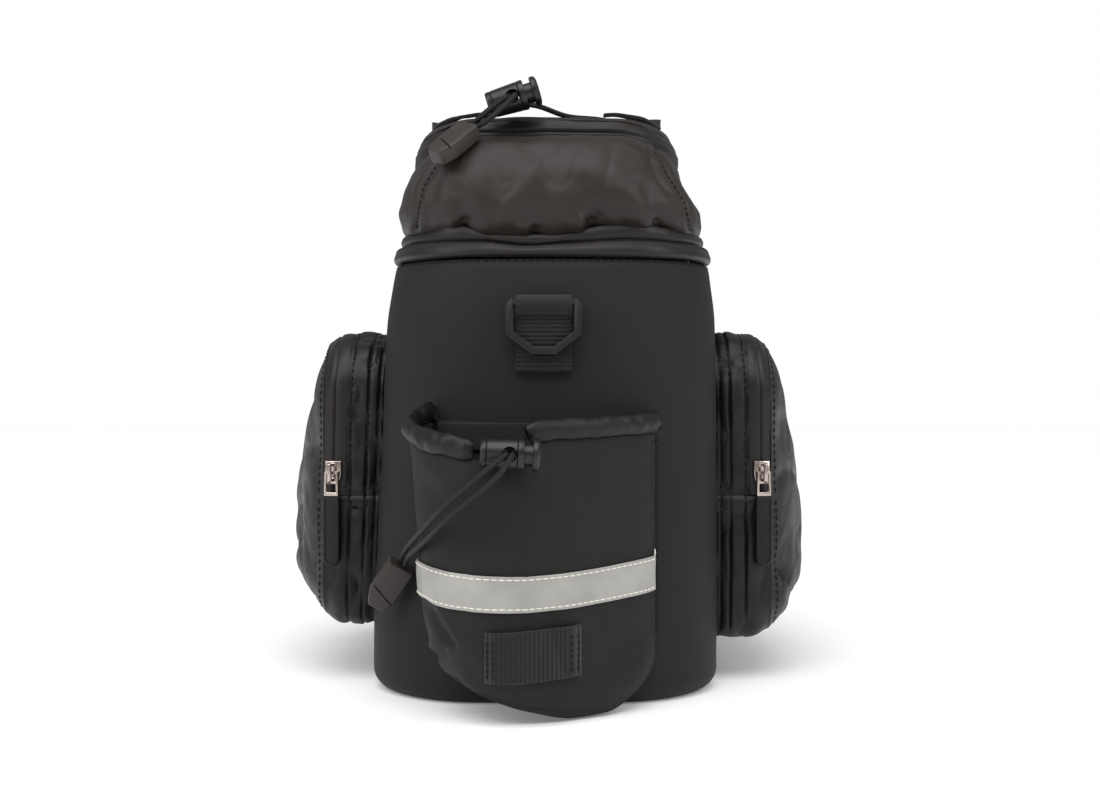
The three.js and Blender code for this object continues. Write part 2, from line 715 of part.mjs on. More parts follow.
function outerPanel(pocket) {
  const { side, foot, sag } = pocket;
  const edgeLoop = (shrink) => [...upperEdge(shrink), ...lowerEdge(shrink, foot).slice(1, -1)];
  const height = POCKET_TOP - foot;
  const centreZ = (POCKET_TOP + foot) / 2;
  const surface = PANEL_SCALES.map((scale) =>
    edgeLoop(bandShrink(1)).map(([y, z]) => {
      const py = y * scale;
      const pz = centreZ + (z - centreZ) * scale;
      const swell = POCKET_SWELL * lookUp(POCKET_SAG, "height", (pz - foot) / height, sag);
      const dent = POCKET_DENTS.reduce((sum, row) => {
        const away = Math.hypot(py - row.along * POCKET_LENGTH, pz - (foot + row.height * height));
        return sum + row.depth * Math.exp(-((away / (row.reach * POCKET_SWELL)) ** 2));
      }, 0);
      const lift = swell * (1 - scale ** 3) - POCKET_SWELL * dent * (1 - scale ** 4);
      return new THREE.Vector3(side * (POCKET_EDGE_X + GAP + lift), py, pz);
    }),
  );
  const lining = surface.map((row, r) =>
    row.map((p) => {
      const inward = p.clone();
      inward.x -= side * POCKET_WALL;
      if (r === 0) {
        inward.x = side * (POCKET_EDGE_X + GAP);
        inward.y *= 1 - POCKET_WALL / (POCKET_LENGTH / 2);
        inward.z = centreZ + (inward.z - centreZ) * (1 - POCKET_WALL / (height / 2));
      }
      return inward;
    }),
  );
  return loft([...surface.reverse(), ...lining], surface.length);
}

const PULL_AXIS_OUT = SLIDER_PLATE + BRIDGE_OPENING / 2; // the pull's pivot, from the tape

// Zip slider with its bridge. Local axes: +Z along the zip, -Y outwards, origin on the tape.
function slider() {
  const shape = new THREE.Shape();
  const half = SLIDER_WIDTH / 2;
  const nose = SLIDER_NOSE / 2;
  const high = SLIDER_LENGTH / 2;
  const neck = -high / 5;
  shape.moveTo(-half, high);
  shape.lineTo(half, high);
  shape.lineTo(half, neck);
  shape.lineTo(nose, -high);
  shape.lineTo(-nose, -high);
  shape.lineTo(-half, neck);
  shape.closePath();
  const plate = new THREE.ExtrudeGeometry(shape, { depth: SLIDER_PLATE, bevelEnabled: false });
  plate.rotateX(Math.PI / 2);
  const reach = SLIDER_PLATE + BRIDGE_OPENING + BRIDGE_BAR;
  const outer = box(BRIDGE_WIDTH, reach, BRIDGE_LENGTH, 0, -reach / 2);
  const opening = box(BRIDGE_WIDTH * 2, BRIDGE_OPENING, BRIDGE_LENGTH - 2 * BRIDGE_BAR, 0, -PULL_AXIS_OUT);
  const bridge = toManifold(outer).subtract(toManifold(opening));
  return fromManifold(toManifold(plate).add(bridge));
}

// An outline with one hole, from lists of corners.
function holedShape(outside, inside) {
  const shape = new THREE.Shape(outside.map((p) => new THREE.Vector2(...p)));
  shape.holes.push(new THREE.Path(inside.map((p) => new THREE.Vector2(...p))));
  return shape;
}

// Flat outline in local X and Z, given a thickness along Y and centred on it.
function plateFrom(shape, thickness, curveSegments = 4) {
  const geometry = new THREE.ExtrudeGeometry(shape, {
    depth: thickness,
    bevelEnabled: false,
    curveSegments,
  });
  return geometry.rotateX(Math.PI / 2).translate(0, thickness / 2, 0);
}

// A rectangular link. Local axes: origin on its upper bar's centre line, hanging along -Z.
function pullLink() {
  const rectangle = (halfWidth, top, bottom) => [
    [-halfWidth, top],
    [-halfWidth, bottom],
    [halfWidth, bottom],
    [halfWidth, top],
  ];
  const top = LINK_BAR / 2;
  const bottom = top - LINK_LENGTH;
  const outside = rectangle(LINK_WIDTH / 2, top, bottom);
  const inside = rectangle(LINK_WIDTH / 2 - LINK_BAR, top - LINK_BAR, bottom + LINK_FOOT);
  return plateFrom(holedShape(outside, inside.reverse()), LINK_BAR);
}

function pullTab() {
  const half = PULL_TAB_WIDTH / 2;
  const top = LINK_BAR / 2 - LINK_LENGTH - GAP;
  const shape = new THREE.Shape();
  shape.moveTo(half, top);
  shape.lineTo(-half, top);
  shape.lineTo(-half, top - PULL_TAB_LENGTH + half);
  shape.absarc(0, top - PULL_TAB_LENGTH + half, half, Math.PI, 2 * Math.PI, false);
  shape.closePath();
  return plateFrom(shape, PULL_TAB_THICKNESS, 8);
}

function sidePocket(pocket) {
  const { name, side } = pocket;
  const group = new THREE.Group();
  const last = BAND_OUTS.length - 1;
  group.add(
    piece(`${name}_gusset_upper`, bandPiece(upperEdge, 0, last - 2, pocket, GAP), POCKET_CLOTH),
    piece(`${name}_zip_tape`, bandPiece(upperEdge, last - 1, last, pocket, GAP), TAPE),
    piece(`${name}_gusset_lower`, bandPiece(lowerEdge, 0, last, pocket, 0), POCKET_CLOTH),
    piece(`${name}_outer_panel`, outerPanel(pocket), POCKET_CLOTH),
  );
  const inner = bandRow(upperEdge, ZIP_FROM, pocket)[0];
  const outer = bandRow(upperEdge, 1, pocket)[0];
  const head = new THREE.Group();
  head.position.set((inner.x + outer.x) / 2, (inner.y + outer.y) / 2 - SEAT_GAP, SLIDER_Z);
  head.rotation.z = side * Math.atan2(outer.y - inner.y, Math.abs(outer.x - inner.x));
  const link = piece(`${name}_pull_link`, pullLink(), NICKEL);
  const tab = piece(`${name}_pull_tab`, pullTab(), RUBBER);
  link.position.y = -PULL_AXIS_OUT;
  tab.position.y = -PULL_AXIS_OUT;
  head.add(piece(`${name}_slider`, slider(), NICKEL), link, tab);
  group.add(head);
  return group;
}

// Ring tab on the rear panel. Local axes: origin on the bar's centre line, -Y outwards.

const LOOP_INNER = RING_BAR / 2 + RING_LOOP_CLEARANCE;
const LOOP_OUTER = LOOP_INNER + WEBBING_THICKNESS;

function ringTab() {
  const shape = new THREE.Shape();
  const back = LOOP_OUTER; // distance from the bar's centre line to the panel side of the tab
  const tail = 2 * WEBBING_THICKNESS;
  shape.moveTo(back, -TAB_TAIL);
  shape.lineTo(back, 0);
  shape.absarc(0, 0, LOOP_OUTER, 0, Math.PI * 1.25, false);
  shape.lineTo(back - tail, -LOOP_OUTER - tail);
  shape.lineTo(back - tail, -TAB_TAIL);
  shape.closePath();
  const hole = new THREE.Path();
  hole.absarc(0, 0, LOOP_INNER, 0, 2 * Math.PI, true);
  shape.holes.push(hole);
  const geometry = new THREE.ExtrudeGeometry(shape, {
    depth: WEBBING,
    bevelEnabled: false,
    curveSegments: 10,
  });
  // The shape's X becomes +Y (towards the panel), its Y becomes +Z, and its depth runs along X.
  geometry.applyMatrix4(
    new THREE.Matrix4().set(0, 0, 1, -WEBBING / 2, 1, 0, 0, 0, 0, 1, 0, 0, 0, 0, 0, 1),
  );
  return geometry;
}

function dRing() {
  const inner = RING_INNER_WIDTH / 2;
  const outer = inner + RING_BAR;
  const radius = RING_BAR / 2;
  const sides = (halfWidth, top, knee, low, halfFoot) => [
    [-halfWidth, top],
    [-halfWidth, knee],
    [-halfFoot, low],
    [halfFoot, low],
    [halfWidth, knee],
    [halfWidth, top],
  ];
  const foot = RING_FOOT / 2;
  const outside = sides(outer, radius - RING_BEVEL, -RING_KNEE, -RING_DROP, foot);
  outside.push([outer - RING_BEVEL, radius], [-outer + RING_BEVEL, radius]);
  const inside = sides(inner, -radius, radius - RING_KNEE, RING_BAR - RING_DROP, foot - radius / 2);
  const flat = toManifold(plateFrom(holedShape(outside, inside.reverse()), RING_BAR));
  // The webbing's part of the frame is a round bar, let into the sides.
  const barZone = toManifold(box(RING_INNER_WIDTH, RING_BAR * 2, RING_BAR + GAP));
  const barLength = RING_INNER_WIDTH + GAP;
  const roundBar = new THREE.CylinderGeometry(radius, radius, barLength, 12).rotateZ(Math.PI / 2);
  return fromManifold(flat.subtract(barZone).add(toManifold(roundBar)));
}

function ringAssembly() {
  const group = new THREE.Group();
  const low = rearFace(RING_X, RING_Z - TAB_TAIL);
  const high = rearFace(RING_X, RING_Z);
  group.rotation.x = -Math.atan2(high - low, TAB_TAIL);
  group.position.set(RING_X, Math.min(low, high) - LOOP_OUTER - SEAT_GAP + (high - low), RING_Z);
  const hung = piece("d_ring", dRing(), PLASTIC);
  hung.rotation.x = THREE.MathUtils.degToRad(-RING_TILT);
  group.add(piece("ring_tab", ringTab(), WEB), hung);
  return group;
}

// Bottle pocket

// Its front seen from above, right edge to left edge: across from 1 to -1 over its width, out as a share of
// the depth, and the heights of the mouth and of the stripe's middle as shares of the rim's
const BOTTLE_PLAN = [
  { across: 1, out: 0, rim: 0.965, stripe: 0.472 },
  { across: 0.98, out: 0.12, rim: 0.96, stripe: 0.471 },
  { across: 0.88, out: 0.28, rim: 0.955, stripe: 0.47 },
  { across: 0.7, out: 0.45, rim: 0.95, stripe: 0.465 },
  { across: 0.46, out: 0.64, rim: 0.945, stripe: 0.459 },
  { across: 0.22, out: 0.8, rim: 0.94, stripe: 0.453 },
  { across: -0.05, out: 0.93, rim: 0.925, stripe: 0.446 },
  { across: -0.13, out: 0.96, rim: 0.875, stripe: 0.444 },
  { across: -0.26, out: 1, rim: 0.875, stripe: 0.437 },
  { across: -0.46, out: 1, rim: 0.875, stripe: 0.437 },
  { across: -0.66, out: 0.91, rim: 0.89, stripe: 0.449 },
  { across: -0.84, out: 0.74, rim: 0.9, stripe: 0.462 },
  { across: -0.95, out: 0.54, rim: 0.925, stripe: 0.472 },
  { across: -1, out: 0.34, rim: 0.945, stripe: 0.476 },
  { across: -0.95, out: 0.15, rim: 0.975, stripe: 0.478 },
  { across: -0.84, out: 0, rim: 1, stripe: 0.478 },
];

// Its sections from the foot to the mouth, as shares of its height, width and depth.
// The stripe's lower and upper edges are sections too.
const BOTTLE_ROWS = [
  { height: 0, width: 0.86, depth: 0.8 },
  { height: 0.05, width: 0.9, depth: 0.92 },
  { height: 0.15, width: 0.92, depth: 1 },
  { height: 0.28, width: 0.95, depth: 1.02 },
  { stripeEdge: -0.5, width: 0.965, depth: 1.01 },
  { stripeEdge: 0.5, width: 0.975, depth: 1 },
  { height: 0.8, width: 0.99, depth: 0.98 },
  { height: 1, width: 1.01, depth: 0.96 },
];

// How far the foot rises at each place across, as a share of the rim's height
const BOTTLE_FOOT = [
  { across: -1, rise: 0.14 },
  { across: -0.8, rise: 0.115 },
  { across: -0.57, rise: 0.075 },
  { across: -0.2, rise: 0.03 },
  { across: 0.2, rise: 0 },
  { across: 0.5, rise: 0.005 },
  { across: 0.85, rise: 0.08 },
  { across: 1, rise: 0.16 },
];
const BOTTLE_BACK_STEPS = 12;
const BARE_MOUTH = { from: 6, to: 9 }; // rows of the plan between the hem's two tubes
const MOUTH_BAND = { from: -0.82, to: 0.02 }; // where the woven band lies across the pocket

const bottleX = (across, width) => BOTTLE_RIGHT - (1 - across) * (BOTTLE_WIDTH / 2) * width;

function bottleZ(at, row) {
  if (row.stripeEdge) return at.stripe * BOTTLE_RIM + row.stripeEdge * STRIPE_HEIGHT;
  const fade = Math.max(0, 1 - row.height / FOOT_FADE);
  const foot = BOTTLE_RIM * lookUp(BOTTLE_FOOT, "across", at.across, "rise") * fade;
  return lerp(BOTTLE_BASE, BOTTLE_RIM * at.rim, row.height) + foot;
}

// The pocket's front at one section, right edge first.
function bottleFront(row) {
  return BOTTLE_PLAN.map((at) => {
    const x = bottleX(at.across, row.width);
    const z = bottleZ(at, row);
    const wallZ = Math.max(z, BASE_EDGE);
    const seat = at.out ? rearFace(BOTTLE_RIGHT, wallZ) : rearFace(x, wallZ);
    return new THREE.Vector3(x, seat - SEAT_GAP - at.out * BOTTLE_DEPTH * row.depth, z);
  });
}

// The pocket's back along the rear panel, between its left and right edges.
function bottleBack(row) {
  const right = BOTTLE_PLAN[0];
  const left = BOTTLE_PLAN[BOTTLE_PLAN.length - 1];
  return steps(BOTTLE_BACK_STEPS, (s) => {
    const across = lerp(left.across, right.across, s);
    const x = bottleX(across, row.width);
    const rim = lerp(left.rim, right.rim, s);
    const z = bottleZ({ across, rim, stripe: lerp(left.stripe, right.stripe, s) }, row);
    return new THREE.Vector3(x, rearFace(x, Math.max(z, BASE_EDGE)) - SEAT_GAP, z);
  }).slice(1);
}

function bottlePocket() {
  const outer = BOTTLE_ROWS.map((row) => [...bottleFront(row), ...bottleBack(row)]).map((r) => r.reverse());
  const inner = offsetGrid(outer, BOTTLE_WALL, true);
  inner[0].forEach((p, i) => (p.z = outer[0][i].z + BOTTLE_WALL));
  return loft([...outer, ...inner.reverse()], outer.length, { firstRun: BOTTLE_BACK_STEPS - 1 });
}

const CASING_SIDES = 8;

// One of the hem's two tubes along the mouth, over the rows of the plan from one index to another.
function casing(from, to) {
  const mouth = bottleFront(BOTTLE_ROWS[BOTTLE_ROWS.length - 1]).slice(from, to + 1);
  const lift = CASING_HEIGHT / 2 + GAP;
  const curve = new THREE.CatmullRomCurve3(
    mouth.map((p) => {
      const clear = rearFace(p.x, p.z + lift) - SEAT_GAP - CASING_THICKNESS / 2;
      return new THREE.Vector3(p.x, Math.min(p.y, clear), p.z + lift);
    }),
  );
  const count = 2 * (mouth.length - 1);
  const rings = steps(count + 1, (_, i) => {
    const share = i / count;
    const centre = curve.getPointAt(share);
    const along = curve.getTangentAt(share);
    const outward = new THREE.Vector3(along.y, -along.x, 0).normalize();
    const up = new THREE.Vector3().crossVectors(along, outward).normalize();
    return steps(CASING_SIDES, (s) => {
      const turn = s * 2 * Math.PI;
      return centre
        .clone()
        .addScaledVector(outward, (CASING_THICKNESS / 2) * Math.cos(turn))
        .addScaledVector(up, (CASING_HEIGHT / 2) * Math.sin(turn));
    });
  });
  return loft(rings, rings.length);
}

// Tape or webbing laid on the pocket's front between two of its sections.
function stripe() {
  const edges = BOTTLE_ROWS.filter((row) => row.stripeEdge);
  const grid = edges.map((row) => bottleFront(row).slice(1, -2));
  return slab(offsetGrid(grid, GAP + STRIPE_THICKNESS), offsetGrid(grid, GAP));
}

// Webbing sewn flat at both ends, with a slack middle that a rear light clips over.
function lightLoop(pocket) {
  const columns = 8;
  const inward = new THREE.Vector3(0, 1, 0);
  const rows = [-0.5, -0.2, 0.1, 0.5].map((v) =>
    steps(columns + 1, (_, i) => {
      const u = i / columns - 0.5;
      const x = LIGHT_LOOP_X + u * LIGHT_LOOP_WIDTH;
      const z = LIGHT_LOOP_Z + v * LIGHT_LOOP_HEIGHT + u * LIGHT_LOOP_SLOPE;
      const start = new THREE.Vector3(x, -BODY_LENGTH, z);
      const hit = landing(pocket, start, inward);
      const slack = i === 0 || i === columns ? 0 : LIGHT_LOOP_SLACK;
      return hit.setY(hit.y - SEAT_GAP - slack);
    }),
  );
  const outer = rows.map((row) => row.map((p) => p.clone().setY(p.y - WEBBING_THICKNESS)));
  return slab(outer, rows);
}

// Woven band sewn inside the mouth, on the pocket's back.
function mouthBand() {
  const left = bottleX(MOUTH_BAND.from, 1);
  const right = bottleX(MOUTH_BAND.to, 1);
  const spans = 6;
  const face = (z) =>
    steps(spans + 1, (_, i) => {
      const x = lerp(left, right, i / spans);
      return new THREE.Vector3(x, rearFace(x, z) - SEAT_GAP - BOTTLE_WALL - SEAT_GAP, z);
    });
  const top = BOTTLE_RIM - 1;
  const rows = [face(top - MOUTH_BAND_HEIGHT), face(top)];
  const front = rows.map((row) => row.map((p) => p.clone().setY(p.y - MOUTH_BAND_THICKNESS)));
  return slab(front, rows);
}

// Cord locks. Local axes: the barrel lies along X, the cord runs through along Y.

function lathe(profile, sides) {
  const geometry = new THREE.LatheGeometry(
    profile.map(([radius, along]) => new THREE.Vector2(radius, along)),
    sides,
  );
  return geometry.rotateZ(-Math.PI / 2);
}

function lockBarrel() {
  const half = LOCK_LENGTH / 2;
  const floor = -half + LOCK_FLOOR;
  const body = lathe(
    [
      [0, -half],
      [LOCK_END_RADIUS - LOCK_CHAMFER, -half],
      [LOCK_END_RADIUS, -half + LOCK_CHAMFER],
      [LOCK_RADIUS, half],
      [LOCK_BORE, half],
      [LOCK_BORE, floor],
      [0, floor],
    ],
    12,
  );
  const hole = new THREE.CylinderGeometry(LOCK_HOLE, LOCK_HOLE, LOCK_RADIUS * 4, 10);
  hole.translate(LOCK_HOLE_AT, 0, 0);
  return fromManifold(toManifold(body).subtract(toManifold(hole)));
}

function lockPlunger() {
  const half = LOCK_LENGTH / 2;
  const stem = LOCK_BORE - STEM_CLEARANCE;
  const foot = LOCK_FLOOR + LOCK_TRAVEL + GAP - half;
  const cap = half + LOCK_TRAVEL + GAP;
  const face = cap + CAP_THICKNESS;
  const body = lathe(
    [
      [0, foot],
      [stem, foot],
      [stem, cap],
      [LOCK_RADIUS, cap],
      [LOCK_RADIUS, face - LOCK_CHAMFER],
      [LOCK_RADIUS - 2 * LOCK_CHAMFER, face],
      [0, face],
    ],
    12,
  );
  const slotLength = 2 * CORD + SLOT_CLEARANCE + LOCK_TRAVEL;
  const slot = box(slotLength, LOCK_RADIUS * 4, CORD + SLOT_CLEARANCE, LOCK_HOLE_AT + LOCK_TRAVEL / 2);
  return fromManifold(toManifold(body).subtract(toManifold(slot)));
}

function cordLock(name, position, tilt) {
  const group = new THREE.Group();
  group.position.set(...position);
  group.rotation.y = -tilt;
  group.add(
    piece(`${name}_barrel`, lockBarrel(), PLASTIC),
    piece(`${name}_plunger`, lockPlunger(), PLASTIC),
  );
  return group;
}

// A moulded clip on a cord's two ends, hanging along local -Z from its mouth at the origin.
function cordEnd(name, place, by) {
  const half = CORD_END_WIDTH / 2;
  const tip = CORD_END_TIP / 2;
  const corners = [
    [-half, 0],
    [-half, -CORD_END_SHOULDER],
    [-tip, -CORD_END_LENGTH],
    [tip, -CORD_END_LENGTH],
    [half, -CORD_END_SHOULDER],
    [half, 0],
  ];
  const shape = new THREE.Shape(corners.map((p) => new THREE.Vector2(...p)));
  const mesh = piece(name, plateFrom(shape, CORD_END_THICKNESS), PLASTIC);
  const up = new THREE.Vector3(...place.along).normalize().negate();
  const front = new THREE.Vector3(...place.facing);
  const right = new THREE.Vector3().crossVectors(front, up).normalize().negate();
  const back = new THREE.Vector3().crossVectors(up, right);
  mesh.matrix.makeBasis(right, back, up).setPosition(...moved(place.mouth, by));
  mesh.matrix.decompose(mesh.position, mesh.quaternion, mesh.scale);
  return mesh;
}

// A cord's points are chosen for its lock's place on the real bag, and move with the lock.
const moveFrom = (drawnAt, place) => place.map((value, axis) => value - drawnAt[axis]);
const moved = (point, by) => point.map((value, axis) => value + by[axis]);

// Bottle pocket's drawcord: both strands leave the casings, meet in the lock and hang from it to the cord end.
const POCKET_LOCK_AT = { across: -0.2453, rim: 0.9024, depth: 0.96 }; // shares, as in the tables above
const POCKET_LOCK_PROUD = 5.7; // from the pocket's fullest place to the barrel's centre line
const POCKET_LOCK_Z = BOTTLE_RIM * POCKET_LOCK_AT.rim;
const POCKET_LOCK = [
  bottleX(POCKET_LOCK_AT.across, 1),
  rearFace(BOTTLE_RIGHT, POCKET_LOCK_Z) - SEAT_GAP - BOTTLE_DEPTH * POCKET_LOCK_AT.depth - POCKET_LOCK_PROUD,
  POCKET_LOCK_Z,
];
const POCKET_LOCK_TILT = -0.05;
const POCKET_MOVE = moveFrom([-18, -200.8, 112.8], POCKET_LOCK);
const POCKET_CORD_LEFT = [
  [-27.4, -190.8, 114.6],
  [-23, -190.6, 113.8],
  [-18.8, -190.6, 113.1],
  [-16.6, -192.6, 112.8],
  [-16.4, -196, 112.7],
  [-16.4, -198.4, 112.7],
];
const POCKET_CORD_RIGHT = [
  [-9.6, -190.6, 119.4],
  [-10.6, -190.6, 116.4],
  [-12.2, -190.9, 113.6],
  [-13.5, -192.8, 112.7],
  [-13.7, -196, 112.6],
  [-13.7, -198.4, 112.6],
];
const POCKET_TAIL_LEFT = [
  [-16.4, -199, 112.7],
  [-16.4, -202.3, 112.7],
  [-16.4, -206, 112.7],
  [-17, -209.2, 112.1],
  [-19.2, -211.7, 110.4],
  [-23.2, -212.6, 107.2],
  [-29.5, -211.2, 101.9],
  [-35.8, -208.2, 96.4],
  [-41.7, -203.6, 91.1],
  [-47.4, -195.6, 85.2],
  [-52.4, -185.4, 79.8],
  [-56.8, -173.6, 75],
  [-60.4, -161.4, 70.9],
  [-63, -150.8, 67.2],
  [-65, -142.4, 63.2],
];
const POCKET_TAIL_RIGHT = [
  [-13.7, -199, 112.6],
  [-13.7, -202.3, 112.6],
  [-13.7, -205.6, 112.6],
  [-14.1, -208.8, 111.8],
  [-15.6, -211.4, 109.5],
  [-18.4, -212.6, 105.6],
  [-24, -211.8, 100],
  [-31.2, -209.2, 94.2],
  [-38, -204.8, 88.6],
  [-44.2, -197.8, 82.6],
  [-49.6, -188.6, 77],
  [-54.6, -176.8, 72.2],
  [-58.4, -164.6, 68.4],
  [-61, -153.4, 65.2],
  [-63, -143.4, 61.4],
];
const POCKET_CORD_END = {
  mouth: [-64.4, -141.4, 61.6],
  along: [-0.53, 0.33, -0.78],
  facing: [0.35, -0.9, 0.1],
};

// Lid's lacing: its two ends come to the lock from the top and hang in front of it.
const LID_LOCK_X = -18.6;
const LID_LOCK_OVERHANG = 6; // past the tier's rear edge
const LID_LOCK_RISE = 17.6; // above the gusset's crest
const LID_LOCK = [
  LID_LOCK_X,
  TIER_SETBACK_REAR - BODY_LENGTH / 2 - LID_LOCK_OVERHANG,
  LID_BASE + GUSSET_RISE_REAR + LID_LOCK_RISE,
];
const LID_LOCK_TILT = 0.3;
const LID_MOVE = moveFrom([-18.6, -118, 272], LID_LOCK);
const LID_TAIL_LEFT = [
  [-17, -118.2, 272.5],
  [-17, -121.5, 272.5],
  [-17.2, -124.8, 272.4],
  [-18.6, -128, 271.3],
  [-21.8, -130.2, 268.9],
  [-26.6, -131, 265],
  [-31, -130.3, 261.3],
  [-35.1, -128.7, 257.9],
];
const LID_TAIL_RIGHT = [
  [-14.4, -118.2, 273.3],
  [-14.4, -121.6, 273.3],
  [-14.5, -125, 273.1],
  [-15.4, -128.6, 271.5],
  [-18.2, -131.6, 268],
  [-23.4, -132.9, 263],
  [-28.2, -132.3, 259.4],
  [-32.7, -130.7, 257.1],
];
const LID_CORD_END = {
  mouth: [-34.6, -130.1, 256.8],
  along: [-0.62, -0.49, -0.61],
  facing: [-0.27, -0.59, 0.76],
};

// Plan line on the top at an inset from its edge, from the rear round one side to the front.
function topLine(inset, side) {
  const insets = tierInset(TIER_LEAN + inset);
  const line = outline(insets)
    .filter((p) => side * p.x > STRAP_START && p.front < 1)
    .map((p) => new THREE.Vector3(p.x + BODY_SWAY * TIER_SWAY, p.y, 0));
  if (side < 0) line.sort((a, b) => a.y - b.y || b.x - a.x);
  return new THREE.CatmullRomCurve3(line, false, "centripetal");
}

const DOWN = new THREE.Vector3(0, 0, -1);
const onTop = (top, x, y, above) => {
  const hit = landing(top, new THREE.Vector3(x, y, BODY_HEIGHT * 2), DOWN);
  return new THREE.Vector3(x, y, hit.z + above);
};

// Webbing along one side of the top, arched over the cord at each crossing.
function lacingStrap(top, side) {
  const count = 34;
  const arch = CORD + ARCH_CLEARANCE;
  const edges = [STRAP_INSET, STRAP_INSET + STRAP_WIDTH].map((inset) => topLine(inset, side));
  const rows = steps(count + 1, (_, i) =>
    edges.map((edge) => {
      const p = edge.getPointAt(i / count);
      const near = Math.min(...LACING_YS.map((at) => Math.abs(p.y - at)));
      const past = Math.max(near - arch, 0);
      const lift = arch * THREE.MathUtils.clamp(1 - past / ARCH_RUN, 0, 1);
      return onTop(top, p.x, p.y, STRAP_SEAT + lift);
    }),
  );
  const outer = rows.map((row) => row.map((p) => p.clone().setZ(p.z + STRAP_THICKNESS)));
  return slab(outer, rows);
}

// The cord from the lock's back, zigzag under the straps to the front, and back again over itself.
function lacing(top) {
  const middle = BODY_WIDTH / 2 - tierInset(TIER_LEAN + STRAP_INSET + STRAP_WIDTH / 2).side;
  const clear = STRAP_WIDTH / 2 + LACING_CLEARANCE;
  const rest = CORD / 2 + LACING_SEAT;
  const at = (x, y, above = rest) => {
    const p = onTop(top, x + BODY_SWAY * TIER_SWAY, y, above);
    return [p.x, p.y, p.z];
  };
  // Out under a strap at one crossing, along its outer side, and back in at the next.
  const wrap = (side, fromY, toY) => [
    at(side * (middle - clear), fromY),
    at(side * middle, fromY),
    at(side * (middle + clear), lerp(fromY, toY, 0.1)),
    at(side * (middle + clear), lerp(fromY, toY, 0.5)),
    at(side * (middle + clear), lerp(fromY, toY, 0.9)),
    at(side * middle, toY),
    at(side * (middle - clear), toY),
  ];
  const cross = (from, to, fromY, toY, above) =>
    [0.3, 0.7].map((s) => at(lerp(from, to, s), lerp(fromY, toY, s), above));
  const [y0, y1, y2, y3] = LACING_YS;
  const over = rest + CORD + LACING_SEAT;
  const inside = middle - clear;
  const ahead = [
    [-17, -117.6, 272.5],
    [-17, -113, 272.5],
    [-17, -108.4, 272.4],
    [-19.4, -102.6, 271.6],
  ];
  const back = [
    [-4, -99.4, 272.6],
    [-12.4, -104.4, 273.2],
    [-14.4, -108.4, 273.3],
    [-14.4, -113, 273.3],
    [-14.4, -117.6, 273.3],
  ];
  return [
    ...ahead.map((p) => moved(p, LID_MOVE)),
    at(-30, -84 + LID_MOVE[1]),
    ...wrap(-1, y0, y1),
    ...cross(-inside, inside, y1, y2, rest),
    ...wrap(1, y2, y3),
    ...cross(inside, -inside, y3, y3, rest),
    ...wrap(-1, y3, y2),
    ...cross(-inside, inside, y2, y1, over),
    ...wrap(1, y1, y0),
    at(26, -76 + LID_MOVE[1]),
    at(10, -88 + LID_MOVE[1]),
    ...back.map((p) => moved(p, LID_MOVE)),
  ];
}

// A plain slider for the zips whose own are on the far end.
function plainSlider(name, z, inset) {
  const mesh = piece(
    name,
    box(SLIDER_WIDTH, SLIDER_PLATE + BRIDGE_OPENING, SLIDER_LENGTH),
    NICKEL,
  );
  const depth = (SLIDER_PLATE + BRIDGE_OPENING) / 2;
  mesh.position.set(0, BODY_LENGTH / 2 - inset + depth + SEAT_GAP, z);
  return mesh;
}

// The bag

const bag = new THREE.Group();
const topGeometry = topPanel();
const pocketGeometry = bottlePocket();
bag.add(
  piece("tub", tub(), COATED),
  piece("main_zip_lower_tape", lowerTape(), TAPE),
  piece("main_zip_upper_tape", upperTape(), TAPE),
  plainSlider("main_zip_slider", ZIP_LINE, ZIP_INSET + TAPE_LEAN * 0.3),
  piece("lid_gusset", gusset(), COATED_LID),
  piece("lid_zip_band", tierBand(), TAPE),
  piece("lid_top", topGeometry, COATED_LID),
  piece("lacing_strap_left", lacingStrap(topGeometry, -1), WEB),
  piece("lacing_strap_right", lacingStrap(topGeometry, 1), WEB),
  piece("lacing_cord", cordAlong(lacing(topGeometry), 68), ELASTIC),
  cordLock("lid_lock", LID_LOCK, LID_LOCK_TILT),
  piece("lid_tail_left", cordAlong(LID_TAIL_LEFT, 9, LID_MOVE), ELASTIC),
  piece("lid_tail_right", cordAlong(LID_TAIL_RIGHT, 9, LID_MOVE), ELASTIC),
  cordEnd("lid_cord_end", LID_CORD_END, LID_MOVE),
  ...POCKETS.map(sidePocket),
  ringAssembly(),
  piece("bottle_pocket", pocketGeometry, COATED),
  piece("bottle_casing_right", casing(0, BARE_MOUTH.from), POCKET_CLOTH),
  piece("bottle_casing_left", casing(BARE_MOUTH.to, BOTTLE_PLAN.length - 1), POCKET_CLOTH),
  piece("bottle_mouth_band", mouthBand(), WEB),
  piece("reflective_stripe", stripe(), REFLECTIVE),
  piece("light_loop", lightLoop(pocketGeometry), WEB),
  cordLock("bottle_lock", POCKET_LOCK, POCKET_LOCK_TILT),
  piece("bottle_cord_left", cordAlong(POCKET_CORD_LEFT, 6, POCKET_MOVE), ELASTIC),
  piece("bottle_cord_right", cordAlong(POCKET_CORD_RIGHT, 5, POCKET_MOVE), ELASTIC),
  piece("bottle_tail_left", cordAlong(POCKET_TAIL_LEFT, 20, POCKET_MOVE), ELASTIC),
  piece("bottle_tail_right", cordAlong(POCKET_TAIL_RIGHT, 20, POCKET_MOVE), ELASTIC),
  cordEnd("bottle_cord_end", POCKET_CORD_END, POCKET_MOVE),
);

export default bag;
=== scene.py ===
"""Dresses a bicycle trunk bag: coated cloth, zips, webbing, elastic cords, stitches and moulded parts.

Everything is in metres and in the frame's own axes: +Z is up and the rear end faces -Y.
"""

from __future__ import annotations

